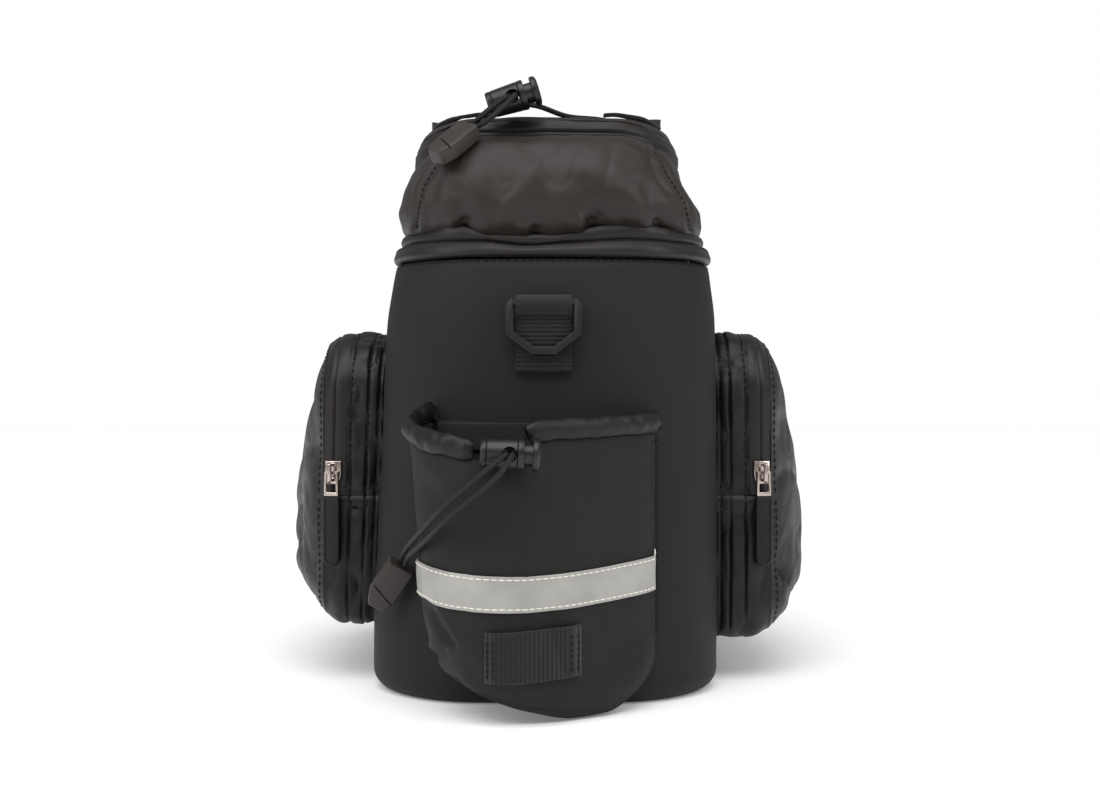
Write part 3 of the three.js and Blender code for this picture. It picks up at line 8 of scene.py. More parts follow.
import logging
import math
from dataclasses import dataclass
from enum import Enum
from typing import Any, Sequence

import bmesh
import bpy
import numpy as np
from mathutils import Matrix, Vector, noise
from mathutils.bvhtree import BVHTree


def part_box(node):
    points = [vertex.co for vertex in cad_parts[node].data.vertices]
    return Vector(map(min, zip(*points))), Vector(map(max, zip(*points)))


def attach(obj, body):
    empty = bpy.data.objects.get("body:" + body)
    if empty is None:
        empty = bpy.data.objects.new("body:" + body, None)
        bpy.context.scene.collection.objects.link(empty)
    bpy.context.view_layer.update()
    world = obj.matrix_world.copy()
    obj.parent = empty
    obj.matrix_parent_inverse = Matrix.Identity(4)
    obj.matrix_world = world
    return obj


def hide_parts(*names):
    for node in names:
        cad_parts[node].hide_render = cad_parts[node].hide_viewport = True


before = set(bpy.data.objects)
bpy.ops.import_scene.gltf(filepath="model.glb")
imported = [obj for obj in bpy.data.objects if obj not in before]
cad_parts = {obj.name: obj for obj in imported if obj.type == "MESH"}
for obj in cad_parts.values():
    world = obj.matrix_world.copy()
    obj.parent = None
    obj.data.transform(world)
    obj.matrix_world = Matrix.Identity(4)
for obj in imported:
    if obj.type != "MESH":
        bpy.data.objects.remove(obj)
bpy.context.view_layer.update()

LOG = logging.getLogger("bag")
MM = 0.001
QUARTER = math.pi / 2
UP = np.array([0.0, 0.0, 1.0])
AHEAD = np.array([0.0, 1.0, 0.0])  # from the rear end towards the front
BAG = "bag"
SLOT = 1.0  # spare room round the cord in a plunger, in millimetres
SEAT_GAP = 0.6 * MM  # between a flat-backed piece and the curved rear panel
PLACE = "Fabric"  # the map that tells each point's place on its cloth, in metres

Colour = tuple[float, float, float, float]


class Slot(Enum):
    """The record's material slots."""

    BODY = "coated_fabric"
    LID = "lid_fabric"
    POCKET = "pocket_fabric"
    TAPE = "zip_tape"
    WEBBING = "webbing"
    PLASTIC = "plastic"
    ELASTIC = "elastic"
    REFLECTIVE = "reflective"
    NICKEL = "nickel"
    RUBBER = "rubber"


class Ends(Enum):
    """Which open ends of a grid are closed by a face."""

    NONE = "none"
    ROWS = "rows"
    COLUMNS = "columns"


def srgb(red: int, green: int, blue: int) -> Colour:
    """Linear colour of a display colour."""
    return (*(pow((c / 255 + 0.055) / 1.055, 2.4) if c > 10 else c / 3294.6 for c in (red, green, blue)), 1.0)


def mix(a: Any, b: Any, share: Any) -> Any:
    """The value a share of the way from a to b."""
    return a + (b - a) * share


def unit(vectors: np.ndarray) -> np.ndarray:
    """The vectors at length one."""
    return vectors / np.maximum(np.linalg.norm(vectors, axis=-1, keepdims=True), 1e-12)


def rise(values: Any, low: float, high: float) -> np.ndarray:
    """Smooth step from 0 at low to 1 at high.

    Args:
        values: Where to read it.
        low: Value below which it is 0.
        high: Value above which it is 1.

    Returns:
        The step's height at each value.
    """
    share = np.clip((np.asarray(values, float) - low) / (high - low), 0.0, 1.0)
    return share * share * (3 - 2 * share)


class Track:
    """A smooth curve through the rows of a table."""

    def __init__(self, keys: Sequence[float], values: Sequence[float], limited: bool = True) -> None:
        """Fits the curve.

        Args:
            keys: Rising places of the rows.
            values: Value at each row.
            limited: Whether the curve stays between its rows, with no overshoot.
        """
        self.keys = np.array(keys, float)
        self.values = np.array(values, float)
        slopes = np.diff(self.values) / np.diff(self.keys)
        tangents = np.concatenate([slopes[:1], (slopes[:-1] + slopes[1:]) / 2, slopes[-1:]])
        if limited:
            same = slopes[:-1] * slopes[1:] > 0
            steep = 2 * slopes[:-1] * slopes[1:]
            total = np.where(same, slopes[:-1] + slopes[1:], 1.0)
            tangents[1:-1] = np.where(same, steep / total, 0.0)
        self.tangents = tangents

    def __call__(self, at: Any) -> np.ndarray:
        """Reads the curve.

        Args:
            at: One place or many.

        Returns:
            Its value at each.
        """
        at = np.clip(at, self.keys[0], self.keys[-1])
        i = np.clip(np.searchsorted(self.keys, at, side="right") - 1, 0, len(self.keys) - 2)
        span = self.keys[i + 1] - self.keys[i]
        t = (at - self.keys[i]) / span
        a, b = self.values[i], self.values[i + 1]
        p, q = self.tangents[i] * span, self.tangents[i + 1] * span
        return a + t * (p + t * (3 * (b - a) - 2 * p - q + t * (p + q - 2 * (b - a))))


def lengths_along(points: np.ndarray) -> np.ndarray:
    """Distance from the first point to each point along their line."""
    return np.concatenate([[0.0], np.cumsum(np.linalg.norm(np.diff(points, axis=0), axis=1))])


def resampled(points: np.ndarray, count: int) -> np.ndarray:
    """The line's points at even distances.

    Args:
        points: The line, a row for each point.
        count: How many points are wanted.

    Returns:
        The new points, ends included.
    """
    run = lengths_along(points)
    at = np.linspace(0, run[-1], count)
    return np.stack([np.interp(at, run, points[:, k]) for k in range(points.shape[1])], axis=1)


def through(points: Sequence[Sequence[float]], count: int) -> np.ndarray:
    """A smooth centripetal curve through chosen points.

    Args:
        points: The points that it passes.
        count: How many even steps it is cut into.

    Returns:
        The curve's points, ends included.
    """
    p = np.array(points, float)
    p = np.vstack([2 * p[0] - p[1], p, 2 * p[-1] - p[-2]])
    knots = np.concatenate([[0.0], np.cumsum(np.sqrt(np.linalg.norm(np.diff(p, axis=0), axis=1)))])
    out = []
    for i in range(1, len(p) - 2):
        t0, t1, t2, t3 = knots[i - 1 : i + 3]
        t = np.linspace(t1, t2, 12, endpoint=False)[:, None]
        a1 = mix(p[i - 1], p[i], (t - t0) / (t1 - t0))
        a2 = mix(p[i], p[i + 1], (t - t1) / (t2 - t1))
        a3 = mix(p[i + 1], p[i + 2], (t - t2) / (t3 - t2))
        b1 = mix(a1, a2, (t - t0) / (t2 - t0))
        b2 = mix(a2, a3, (t - t1) / (t3 - t1))
        out.append(mix(b1, b2, (t - t1) / (t2 - t1)))
    out.append(p[-2:-1])
    return resampled(np.vstack(out), count + 1)


def grid_normals(grid: np.ndarray, closed: bool) -> np.ndarray:
    """Unit normals of a grid of points, on the side from which its rows rise with its columns to the right.

    Args:
        grid: Rows by columns of points.
        closed: Whether the columns close on themselves.

    Returns:
        A normal for each point.
    """
    if closed:
        across = np.roll(grid, -1, axis=1) - np.roll(grid, 1, axis=1)
    else:
        across = np.gradient(grid, axis=1)
    return unit(np.cross(across, np.gradient(grid, axis=0)))


def noise_at(points: np.ndarray, size: float, detail: int = 2, seed: float = 0.0) -> np.ndarray:
    """Soft noise from about -1 to 1.

    Args:
        points: Where to read it, in metres.
        size: Size of its largest lumps.
        detail: How many finer layers it has.
        seed: Moves it to another place, so that two fields differ.

    Returns:
        The noise at each point.
    """
    flat = points.reshape(-1, 3) / size + seed
    values = [noise.fractal(Vector(p), 1.0, 2.0, detail, noise_basis="PERLIN_ORIGINAL") for p in flat]
    return np.array(values).reshape(points.shape[:-1])


def folds_at(points: np.ndarray, size: float, stretch: Sequence[float], seed: float = 0.0) -> np.ndarray:
    """Sharp valleys between soft swellings, as in crumpled cloth.

    Args:
        points: Where to read it, in metres.
        size: Distance between folds.
        stretch: How much longer the folds are along each axis.
        seed: Moves it to another place.

    Returns:
        From 0 in a valley to about 1.
    """
    return np.sqrt(np.abs(noise_at(points / np.array(stretch), size, 1, seed)) * 2)


@dataclass(frozen=True)
class Crease:
    """A fold line in the cloth, between two places across and up, in millimetres."""

    start: tuple[float, float]
    end: tuple[float, float]
    width: float
    depth: float

    def lift(self, across: np.ndarray, up: np.ndarray) -> np.ndarray:
        """How far the cloth moves out, with a soft ridge beside the valley.

        Args:
            across: Places across, in metres.
            up: Heights, in metres.

        Returns:
            The lift at each place, in metres.
        """
        a = np.array(self.start) * MM
        run = np.array(self.end) * MM - a
        far = math.hypot(*run)
        along = ((across - a[0]) * run[0] + (up - a[1]) * run[1]) / far**2
        beside = ((across - a[0]) * -run[1] + (up - a[1]) * run[0]) / far / (self.width * MM)
        fade = rise(along, -0.25, 0.2) * (1 - rise(along, 0.8, 1.25))
        profile = -np.exp(-(beside**2)) + 0.75 * np.exp(-((beside - 1.9) ** 2) / 1.6)
        return self.depth * MM * fade * profile


def creased(creases: Sequence[Crease], across: np.ndarray, up: np.ndarray) -> np.ndarray:
    """The lifts of several creases together.

    Args:
        creases: The fold lines.
        across: Places across.
        up: Heights.

    Returns:
        The lift at each place.
    """
    return sum((c.lift(across, up) for c in creases), np.zeros_like(across))


def walled(outer: np.ndarray, wall: float, closed: bool, lip: int = 3) -> np.ndarray:
    """The rows of a cloth wall's closed section: outside, rounded lip, inside and the other lip.

    Args:
        outer: Grid of the outside.
        wall: Thickness.
        closed: Whether the columns close on themselves.
        lip: Rows in each rounded edge.

    Returns:
        The rows, which close on themselves.
    """
    normal = grid_normals(outer, closed)
    inner = outer - normal * wall

    def rounding(row: int, away: np.ndarray, turns: np.ndarray) -> list[np.ndarray]:
        """The lip's rows, round the middle of the wall's edge."""
        middle = (outer[row] + inner[row]) / 2
        return [middle + (normal[row] * math.cos(t) + away * math.sin(t)) * wall / 2 for t in turns]

    turns = np.linspace(0, math.pi, lip + 2)[1:-1]
    top = rounding(-1, unit(outer[-1] - outer[-2]), turns)
    bottom = rounding(0, unit(outer[0] - outer[1]), turns[::-1])
    return np.concatenate([outer, np.array(top), inner[::-1], np.array(bottom)])


class Cast:
    """Gathers points and faces, and makes one mesh of them."""

    def __init__(self) -> None:
        """Starts with nothing in it."""
        self.points: list[np.ndarray] = []
        self.faces: list[list[int]] = []
        self.places: list[np.ndarray] = []
        self.count = 0

    def add(self, points: np.ndarray, faces: Sequence[Sequence[int]],
            places: np.ndarray | None = None) -> None:
        """Takes in points and faces.

        Args:
            points: The new points.
            faces: Their faces, numbered from 0 within these points.
            places: Each face corner's place on the cloth.
        """
        corners = sum(len(f) for f in faces)
        self.faces.extend([self.count + i for i in f] for f in faces)
        self.points.append(np.asarray(points, float))
        self.places.append(np.zeros((corners, 2)) if places is None else places.reshape(-1, 2))
        self.count += len(points)

    def grid(self, grid: np.ndarray, loop_rows: bool = False, loop_columns: bool = False,
             ends: Ends = Ends.NONE) -> None:
        """Takes in a grid of points as quads.

        Args:
            grid: Rows by columns of points.
            loop_rows: Whether the last row meets the first.
            loop_columns: Whether the last column meets the first.
            ends: Which open ends get a face.
        """
        rows, columns = grid.shape[:2]
        index = np.arange(rows * columns).reshape(rows, columns)
        shown = grid
        if loop_rows:
            index, shown = np.vstack([index, index[:1]]), np.concatenate([shown, shown[:1]])
        if loop_columns:
            index = np.hstack([index, index[:, :1]])
            shown = np.concatenate([shown, shown[:, :1]], axis=1)
        u = np.zeros(shown.shape[:2])
        v = np.zeros(shown.shape[:2])
        u[:, 1:] = np.cumsum(np.linalg.norm(np.diff(shown, axis=1), axis=2), axis=1)
        v[1:] = np.cumsum(np.linalg.norm(np.diff(shown, axis=0), axis=2), axis=0)
        place = np.stack([u, v], axis=2)
        corners = [(slice(None, -1), slice(None, -1)), (slice(None, -1), slice(1, None)),
                   (slice(1, None), slice(1, None)), (slice(1, None), slice(None, -1))]
        faces = np.stack([index[c] for c in corners], axis=2).reshape(-1, 4).tolist()
        places = np.stack([place[c] for c in corners], axis=2).reshape(-1, 2)
        extra = []
        if ends is Ends.ROWS:
            extra = [index[0, :columns][::-1].tolist(), index[-1, :columns].tolist()]
        if ends is Ends.COLUMNS:
            extra = [index[:rows, 0].tolist(), index[:rows, -1][::-1].tolist()]
        flat = [place.reshape(-1, 2)[:1].repeat(len(f), axis=0) for f in extra]
        self.add(grid.reshape(-1, 3), faces + extra, np.vstack([places, *flat]))

    def object(self, name: str, smooth: float = 40.0, weld: float = 0.0) -> bpy.types.Object:
        """Makes the mesh object.

        Args:
            name: Its name.
            smooth: Angle in degrees past which an edge is shown sharp.
            weld: Points closer than this become one.

        Returns:
            The new object.
        """
        mesh = bpy.data.meshes.new(name)
        mesh.from_pydata(np.vstack(self.points).tolist(), [], self.faces)
        layer = mesh.uv_layers.new(name=PLACE)
        layer.data.foreach_set("uv", np.vstack(self.places).ravel())
        return finished(mesh, name, smooth, weld)


def finished(mesh: bpy.types.Mesh, name: str, smooth: float, weld: float = 0.0) -> bpy.types.Object:
    """Turns a mesh's faces outwards, shades it smooth and puts it in the scene.

    Args:
        mesh: The mesh.
        name: The object's name.
        smooth: Angle in degrees past which an edge is shown sharp.
        weld: Points closer than this become one.

    Returns:
        The new object.
    """
    work = bmesh.new()
    work.from_mesh(mesh)
    if weld:
        bmesh.ops.remove_doubles(work, verts=work.verts, dist=weld)
    bmesh.ops.recalc_face_normals(work, faces=work.faces)
    work.to_mesh(mesh)
    work.free()
    mesh.shade_smooth()
    mesh.set_sharp_from_angle(angle=math.radians(smooth))
    piece = bpy.data.objects.new(name, mesh)
    bpy.context.scene.collection.objects.link(piece)
    return piece


def applied(piece: bpy.types.Object, smooth: float = 40.0) -> bpy.types.Object:
    """Applies a piece's modifiers.

    Args:
        piece: The piece, which is replaced.
        smooth: Angle in degrees past which an edge is shown sharp.

    Returns:
        The piece with the changed mesh.
    """
    bpy.context.view_layer.update()
    graph = bpy.context.evaluated_depsgraph_get()
    mesh = bpy.data.meshes.new_from_object(piece.evaluated_get(graph))
    piece.modifiers.clear()
    piece.data = mesh
    mesh.shade_smooth()
    mesh.set_sharp_from_angle(angle=math.radians(smooth))
    return piece


def dressed(piece: bpy.types.Object, finish: "Finish", *nodes: str, body: str = BAG,
            slot: Slot | None = None) -> bpy.types.Object:
    """Gives a piece its finish, its body and the nodes that it stands for.

    Args:
        piece: The piece.
        finish: Its finish.
        nodes: The CAD nodes that it replaces.
        body: The CAD body that it rides on.
        slot: Not used.

    Returns:
        The same piece.
    """
    piece.data.materials.clear()
    piece.data.materials.append(finish.material())
    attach(piece, body)
    if nodes:
        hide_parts(*nodes)
    LOG.info("%s: %d faces on %s", piece.name, len(piece.data.polygons), body)
    return piece


def sheet(name: str, grid: np.ndarray, wall: float, finish: "Finish", node: str,
          closed: bool = False) -> bpy.types.Object:
    """Makes a piece of cloth from a grid of its outside.

    Args:
        name: The piece's name.
        grid: Rows by columns of points.
        wall: Its thickness.
        finish: Its finish.
        node: The CAD node that it replaces.
        closed: Whether the columns close on themselves.

    Returns:
        The piece.
    """
    cast = Cast()
    cast.grid(walled(grid, wall, closed), True, closed, Ends.NONE if closed else Ends.COLUMNS)
    return dressed(cast.object(name), finish, node)


def shell(name: str, grid: np.ndarray, finish: "Finish", *nodes: str, body: str = BAG) -> bpy.types.Object:
    """Makes a piece from a grid whose columns close on themselves, with a face at each end.

    Args:
        name: The piece's name.
        grid: Rows by columns of points.
        finish: Its finish.
        nodes: The CAD nodes that it replaces.
        body: The CAD body that it rides on.

    Returns:
        The piece.
    """
    cast = Cast()
    cast.grid(grid, loop_columns=True, ends=Ends.ROWS)
    return dressed(cast.object(name), finish, *nodes, body=body)


def along_path(path: np.ndarray, facing: np.ndarray | None = None) -> tuple[np.ndarray, np.ndarray]:
    """Two directions across a path at each of its points, without twist.

    Args:
        path: Its points.
        facing: A direction that the first of the two keeps near, for all points or for each.

    Returns:
        The first and second direction at each point.
    """
    tangent = unit(np.gradient(path, axis=0))
    if facing is not None:
        first = unit(facing - tangent * np.sum(facing * tangent, axis=1, keepdims=True))
        return first, np.cross(tangent, first)
    start = np.array([0.0, 0.0, 1.0]) if abs(tangent[0][2]) < 0.9 else np.array([1.0, 0.0, 0.0])
    first = [unit(start - tangent[0] * start.dot(tangent[0]))]
    for t in tangent[1:]:
        turned = first[-1] - t * first[-1].dot(t)
        first.append(turned / np.linalg.norm(turned))
    first = np.array(first)
    return first, np.cross(tangent, first)


def swept(path: np.ndarray, wide: Any, high: Any, sides: int = 16,
          facing: np.ndarray | None = None) -> np.ndarray:
    """An oval tube along a path, a row for each of its points.

    Args:
        path: The middle line.
        wide: Radius along the first direction across, one number or one for each point.
        high: Radius along the second.
        sides: Points round the tube.
        facing: Direction that the first radius keeps near.

    Returns:
        Grid whose columns close on themselves.
    """
    first, second = along_path(path, facing)
    turn = np.linspace(0, 2 * math.pi, sides, endpoint=False)
    wide = np.broadcast_to(wide, len(path))[:, None, None]
    high = np.broadcast_to(high, len(path))[:, None, None]
    out = first[:, None] * np.cos(turn)[None, :, None] * wide
    return path[:, None] + out + second[:, None] * np.sin(turn)[None, :, None] * high


@dataclass(frozen=True)
class Stitching:
    """A run of stitches: each is a short arched thread whose ends dive into the cloth."""

    length: float = 2.4 * MM
    gap: float = 0.9 * MM
    thread: float = 0.32 * MM  # radius
    arch: float = 0.25 * MM

    def sew(self, cast: Cast, path: np.ndarray, facing: np.ndarray) -> None:
        """Adds the stitches along a path that lies on the cloth.

        Args:
            cast: Takes their points and faces.
            path: The line of stitches.
            facing: The cloth's normal at each point.
        """
        run = lengths_along(path)
        pitch = self.length + self.gap
        count = max(int(run[-1] / pitch), 1)
        share = np.linspace(0, 1, 5)
        for k in range(count):
            at = k * pitch + self.gap / 2 + share * self.length
            middle = np.stack([np.interp(at, run, path[:, i]) for i in range(3)], axis=1)
            out = unit(np.stack([np.interp(at, run, facing[:, i]) for i in range(3)], axis=1))
            lifted = middle + out * (self.arch * np.sin(share * math.pi) - self.thread * 0.3)[:, None]
            thick = self.thread * np.array([0.55, 0.95, 1.0, 0.95, 0.55])
            cast.grid(swept(lifted, thick, thick, 6, out), loop_columns=True, ends=Ends.ROWS)


def stitched(name: str, thread: Finish, slot: Slot,
             *runs: tuple[Stitching, np.ndarray, np.ndarray]) -> None:
    """Sews runs of stitches and dresses them as one piece.

    Args:
        name: The piece's name.
        thread: Its finish.
        slot: The record's slot.
        runs: For each run its stitches, its line and the cloth's normals there.
    """
    cast = Cast()
    for stitches, path, facing in runs:
        stitches.sew(cast, path, facing)
    dressed(cast.object(name), thread, slot=slot)


class Wire:
    """A shader socket that takes part in Python expressions."""

    def __init__(self, graph: "Graph", socket: Any) -> None:
        """Wraps a node's output."""
        self.graph = graph
        self.socket = socket

    def __add__(self, other: Any) -> "Wire":
        """The sum."""
        return self.graph.maths("ADD", self, other)

    def __radd__(self, other: Any) -> "Wire":
        """The sum, with the wire on the right."""
        return self.graph.maths("ADD", other, self)

    def __sub__(self, other: Any) -> "Wire":
        """The difference."""
        return self.graph.maths("SUBTRACT", self, other)

    def __rsub__(self, other: Any) -> "Wire":
        """The difference, with the wire on the right."""
        return self.graph.maths("SUBTRACT", other, self)

    def __mul__(self, other: Any) -> "Wire":
        """The product."""
        return self.graph.maths("MULTIPLY", self, other)

    def __rmul__(self, other: Any) -> "Wire":
        """The product, with the wire on the right."""
        return self.graph.maths("MULTIPLY", other, self)

    def sine(self) -> "Wire":
        """Its sine."""
        return self.graph.maths("SINE", self)

    def size(self) -> "Wire":
        """Its value without a sign."""
        return self.graph.maths("ABSOLUTE", self)


class Graph:
    """The nodes of a material or of the studio's sky."""

    def __init__(self, owner: bpy.types.ID) -> None:
        """Starts with no nodes.

        Args:
            owner: The material or world whose nodes they are.
        """
        owner.use_nodes = True
        self.tree = owner.node_tree
        self.tree.nodes.clear()

    def node(self, kind: str, settings: dict[str, Any] | None = None,
             inputs: dict[Any, Any] | None = None, output: Any = 0) -> Wire:
        """Makes any node.

        Args:
            kind: Its type, without the leading words that all shader nodes share.
            settings: Its own settings, with a ramp's stops as pairs of place and colour.
            inputs: Values or wires for its sockets, by name or number.
            output: The output that is handed back, by name or number.

        Returns:
            The chosen output.
        """
        made = self.tree.nodes.new("ShaderNode" + kind)
        for key, value in (settings or {}).items():
            if key == "stops":
                ramp = made.color_ramp.elements
                while len(ramp) < len(value):
                    ramp.new(0.5)
                for stop, (place, colour) in zip(ramp, value):
                    stop.position = place
                    stop.color = colour
            else:
                setattr(made, key, value)
        for key, value in (inputs or {}).items():
            if isinstance(value, Wire):
                self.tree.links.new(value.socket, made.inputs[key])
            else:
                made.inputs[key].default_value = value
        return Wire(self, made.outputs[output]) if len(made.outputs) else Wire(self, None)

    def maths(self, operation: str, *values: Any) -> Wire:
        """A Math node on numbers."""
        return self.node("Math", {"operation": operation}, dict(enumerate(values)))

    def blend(self, share: Any, low: Any, high: Any) -> Wire:
        """A colour between two."""
        return self.node("Mix", {"data_type": "RGBA"}, {0: share, 6: low, 7: high}, 2)

    def position(self) -> Wire:
        """The point's place in the piece's own axes, in metres."""
        return self.node("TexCoord", output="Object")

    def cloth(self) -> tuple[Wire, Wire]:
        """The point's place on its cloth.

        Returns:
            Its places along and across, in metres.
        """
        both = self.node("UVMap", {"uv_map": PLACE})
        made = self.node("SeparateXYZ", inputs={0: both})
        return made, Wire(self, made.socket.node.outputs[1])

    def mottle(self, size: float, detail: float = 2.0, rough: float = 0.55) -> Wire:
        """Noise from 0 to 1 in the piece's own axes.

        Args:
            size: Size of its lumps, in metres.
            detail: How many finer layers it has.
            rough: How strong they are.

        Returns:
            The noise.
        """
        settings = {"Vector": self.position(), "Scale": 1 / size, "Detail": detail, "Roughness": rough}
        return self.node("TexNoise", inputs=settings)

    def surface(self, constants: dict[str, Any], colour: Wire, rough: Any, height: Wire) -> None:
        """Ends the material in a shader.

        Args:
            constants: Values that are the same all over.
            colour: The base colour.
            rough: The roughness.
            height: Relief in metres.
        """
        normal = self.node("Bump", inputs={"Strength": 1.0, "Distance": 1.0, "Height": height})
        varied = {"Base Color": colour, "Roughness": rough, "Normal": normal}
        shader = self.node("BsdfPrincipled", inputs={**constants, **varied})
        self.node("OutputMaterial", inputs={"Surface": shader})


@dataclass(frozen=True)
class Finish:
    """A finish, whose material is made on first use."""

    name: str
    colour: Colour
    light: Colour
    roughness: float
    specular: float = 0.3
    slot: Slot | None = None

    def material(self) -> bpy.types.Material:
        """Finds or makes the finish's material.

        Returns:
            The material.
        """
        found = bpy.data.materials.get(self.name)
        if not found:
            found = bpy.data.materials.new(self.name)
            self.draw(Graph(found))
        return found

    def draw(self, graph: Graph) -> None:
        """Fills the material's nodes."""
        raise NotImplementedError


@dataclass(frozen=True)
class CoatedCloth(Finish):
    """Cloth with a thin smooth coating: satin patches, a fine weave and a slight grain."""

    weave: float = 0.55 * MM  # pitch
    weave_height: float = 0.012 * MM
    grain: float = 0.03 * MM
    satin: float = 0.14  # how much the roughness varies

    def draw(self, graph: Graph) -> None:
        """Fills the material's nodes.

        Args:
            graph: Where they go.
        """
        along, across = graph.cloth()
        turn = 2 * math.pi / self.weave
        weave = (along * turn).sine() * (across * turn).sine()
        broad = graph.mottle(38 * MM)
        fine = graph.mottle(1.6 * MM, 3.0)
        share = broad * 0.7 + fine * 0.3
        colour = graph.blend(share, self.colour, self.light)
        rough = self.roughness + (broad - 0.5) * self.satin + (fine - 0.5) * self.satin * 0.5
        height = weave * self.weave_height + fine * self.grain
        graph.surface({"Specular IOR Level": self.specular}, colour, rough, height)


@dataclass(frozen=True)
class WovenWebbing(Finish):
    """Heavy webbing: small herringbone picks with fuzzy, matt threads."""

    pick: float = 0.9 * MM

    def draw(self, graph: Graph) -> None:
        """Fills the material's nodes.

        Args:
            graph: Where they go.
        """
        along, across = graph.cloth()
        turn = 2 * math.pi / self.pick
        picks = (along * turn).sine() * (across * turn * 0.5 + along * turn * 0.5).sine()
        fuzz = graph.mottle(0.35 * MM, 3.0, 0.7)
        colour = graph.blend(picks * 0.25 + fuzz * 0.6 + 0.1, self.colour, self.light)
        rough = self.roughness + (fuzz - 0.5) * 0.2
        height = picks * 0.07 * MM + fuzz * 0.08 * MM
        constants = {"Specular IOR Level": self.specular, "Sheen Weight": 0.15, "Sheen Roughness": 0.5}
        graph.surface(constants, colour, rough, height)


@dataclass(frozen=True)
class BraidedElastic(Finish):
    """A round braid: two sets of strands that cross."""

    strand: float = math.pi * 2.5 / 8 * MM  # eight pairs go round the cord

    def draw(self, graph: Graph) -> None:
        """Fills the material's nodes.

        Args:
            graph: Where they go.
        """
        around, along = graph.cloth()
        turn = math.pi / self.strand
        left = ((along + around) * turn).sine().size()
        right = ((along - around) * turn).sine().size()
        braid = left * right
        colour = graph.blend(braid, self.colour, self.light)
        rough = self.roughness + braid * -0.12
        fuzz = graph.mottle(0.25 * MM, 2.0)
        height = braid * 0.22 * MM + fuzz * 0.03 * MM
        graph.surface({"Specular IOR Level": self.specular}, colour, rough, height)


@dataclass(frozen=True)
class Moulded(Finish):
    """Moulded plastic or rubber with a fine eroded grain and faint flow marks."""

    grain: float = 0.02 * MM
    grain_size: float = 0.3 * MM

    def draw(self, graph: Graph) -> None:
        """Fills the material's nodes.

        Args:
            graph: Where they go.
        """
        grain = graph.mottle(self.grain_size, 2.0)
        flow = graph.mottle(7 * MM)
        colour = graph.blend(flow, self.colour, self.light)
        rough = self.roughness + (flow - 0.5) * 0.16 + (grain - 0.5) * 0.08
        graph.surface({"Specular IOR Level": self.specular}, colour, rough, grain * self.grain)


@dataclass(frozen=True)
class PlatedMetal(Finish):
    """Nickel plate: bright, with faint tarnish and hairline scratches."""

    def draw(self, graph: Graph) -> None:
        """Fills the material's nodes.

        Args:
            graph: Where they go.
        """
        tarnish = graph.mottle(2.4 * MM, 3.0)
        hair = graph.mottle(0.25 * MM, 4.0, 0.8)
        colour = graph.blend(tarnish, self.colour, self.light)
        rough = self.roughness + (tarnish - 0.5) * 0.2 + (hair - 0.5) * 0.1
        graph.surface({"Metallic": 1.0}, colour, rough, hair * 0.008 * MM)


@dataclass(frozen=True)
class BeadedReflector(Finish):
    """Retroreflective tape: silver-grey, with tiny glass beads and a fine ribbed backing."""

    rib: float = 0.7 * MM

    def draw(self, graph: Graph) -> None:
        """Fills the material's nodes.

        Args:
            graph: Where they go.
        """
        along, _ = graph.cloth()
        ribs = (along * (2 * math.pi / self.rib)).sine()
        beads = graph.mottle(0.2 * MM, 2.0, 0.8)
        patch = graph.mottle(18 * MM)
        colour = graph.blend(patch * 0.75 + beads * 0.25, self.colour, self.light)
        rough = self.roughness + (beads - 0.5) * 0.2
        height = beads * 0.02 * MM + ribs * 0.006 * MM
        constants = {"Metallic": 0.25, "Specular IOR Level": self.specular}
        graph.surface(constants, colour, rough, height)


@dataclass(frozen=True)
class StudioFloor(Finish):
    """A plain pale floor with a barely visible grain."""

    glow: float = 0.14

    def draw(self, graph: Graph) -> None:
        """Fills the material's nodes.

        Args:
            graph: Where they go.
        """
        grain = graph.mottle(60 * MM)
        colour = graph.blend(grain, self.colour, self.light)
        constants = {"Specular IOR Level": self.specular, "Emission Strength": self.glow}
        graph.surface(constants, colour, self.roughness, grain * 0.01 * MM)


BODY_CLOTH = CoatedCloth("body_cloth", srgb(29, 29, 28), srgb(36, 36, 35), 0.62, 0.16, Slot.BODY)
LID_CLOTH = CoatedCloth("lid_cloth", srgb(33, 29, 27), srgb(43, 38, 35), 0.45, 0.3, Slot.LID, satin=0.16)
POCKET_CLOTH = CoatedCloth("pocket_cloth", srgb(16, 15, 15), srgb(22, 21, 20), 0.4, 0.28, Slot.POCKET,
                           satin=0.22)
ZIP_CLOTH = CoatedCloth("zip_tape_laminate", srgb(27, 24, 22), srgb(34, 31, 29), 0.4, 0.28, Slot.TAPE,
                        satin=0.1)
WEBBING = WovenWebbing("black_webbing", srgb(12, 12, 12), srgb(34, 34, 33), 0.7, 0.25, Slot.WEBBING)
ELASTIC = BraidedElastic("black_braid", srgb(8, 8, 8), srgb(44, 43, 41), 0.55, 0.3, Slot.ELASTIC)
PLASTIC = Moulded("black_plastic", srgb(14, 14, 14), srgb(20, 20, 20), 0.36, 0.45, Slot.PLASTIC)
# The clips' plastic: the black plastic's moulded finish in a lighter, warmer grey, evenly all over; no wear
# is drawn.
CLIP_PLASTIC = Moulded("lighter_clip_plastic", srgb(44, 38, 36), srgb(56, 48, 46), 0.42, 0.4, Slot.PLASTIC)
RUBBER = Moulded("black_rubber", srgb(9, 9, 9), srgb(14, 14, 14), 0.5, 0.3, Slot.RUBBER, grain=0.03 * MM)
NICKEL = PlatedMetal("nickel_plate", srgb(166, 152, 144), srgb(196, 184, 178), 0.24, slot=Slot.NICKEL)
REFLECTIVE = BeadedReflector("reflective_tape", srgb(128, 126, 122), srgb(184, 182, 177), 0.4, 0.5,
                             Slot.REFLECTIVE)
DARK_THREAD = Moulded("black_thread", srgb(4, 4, 4), srgb(12, 12, 12), 0.6, 0.25, grain=0.05 * MM)
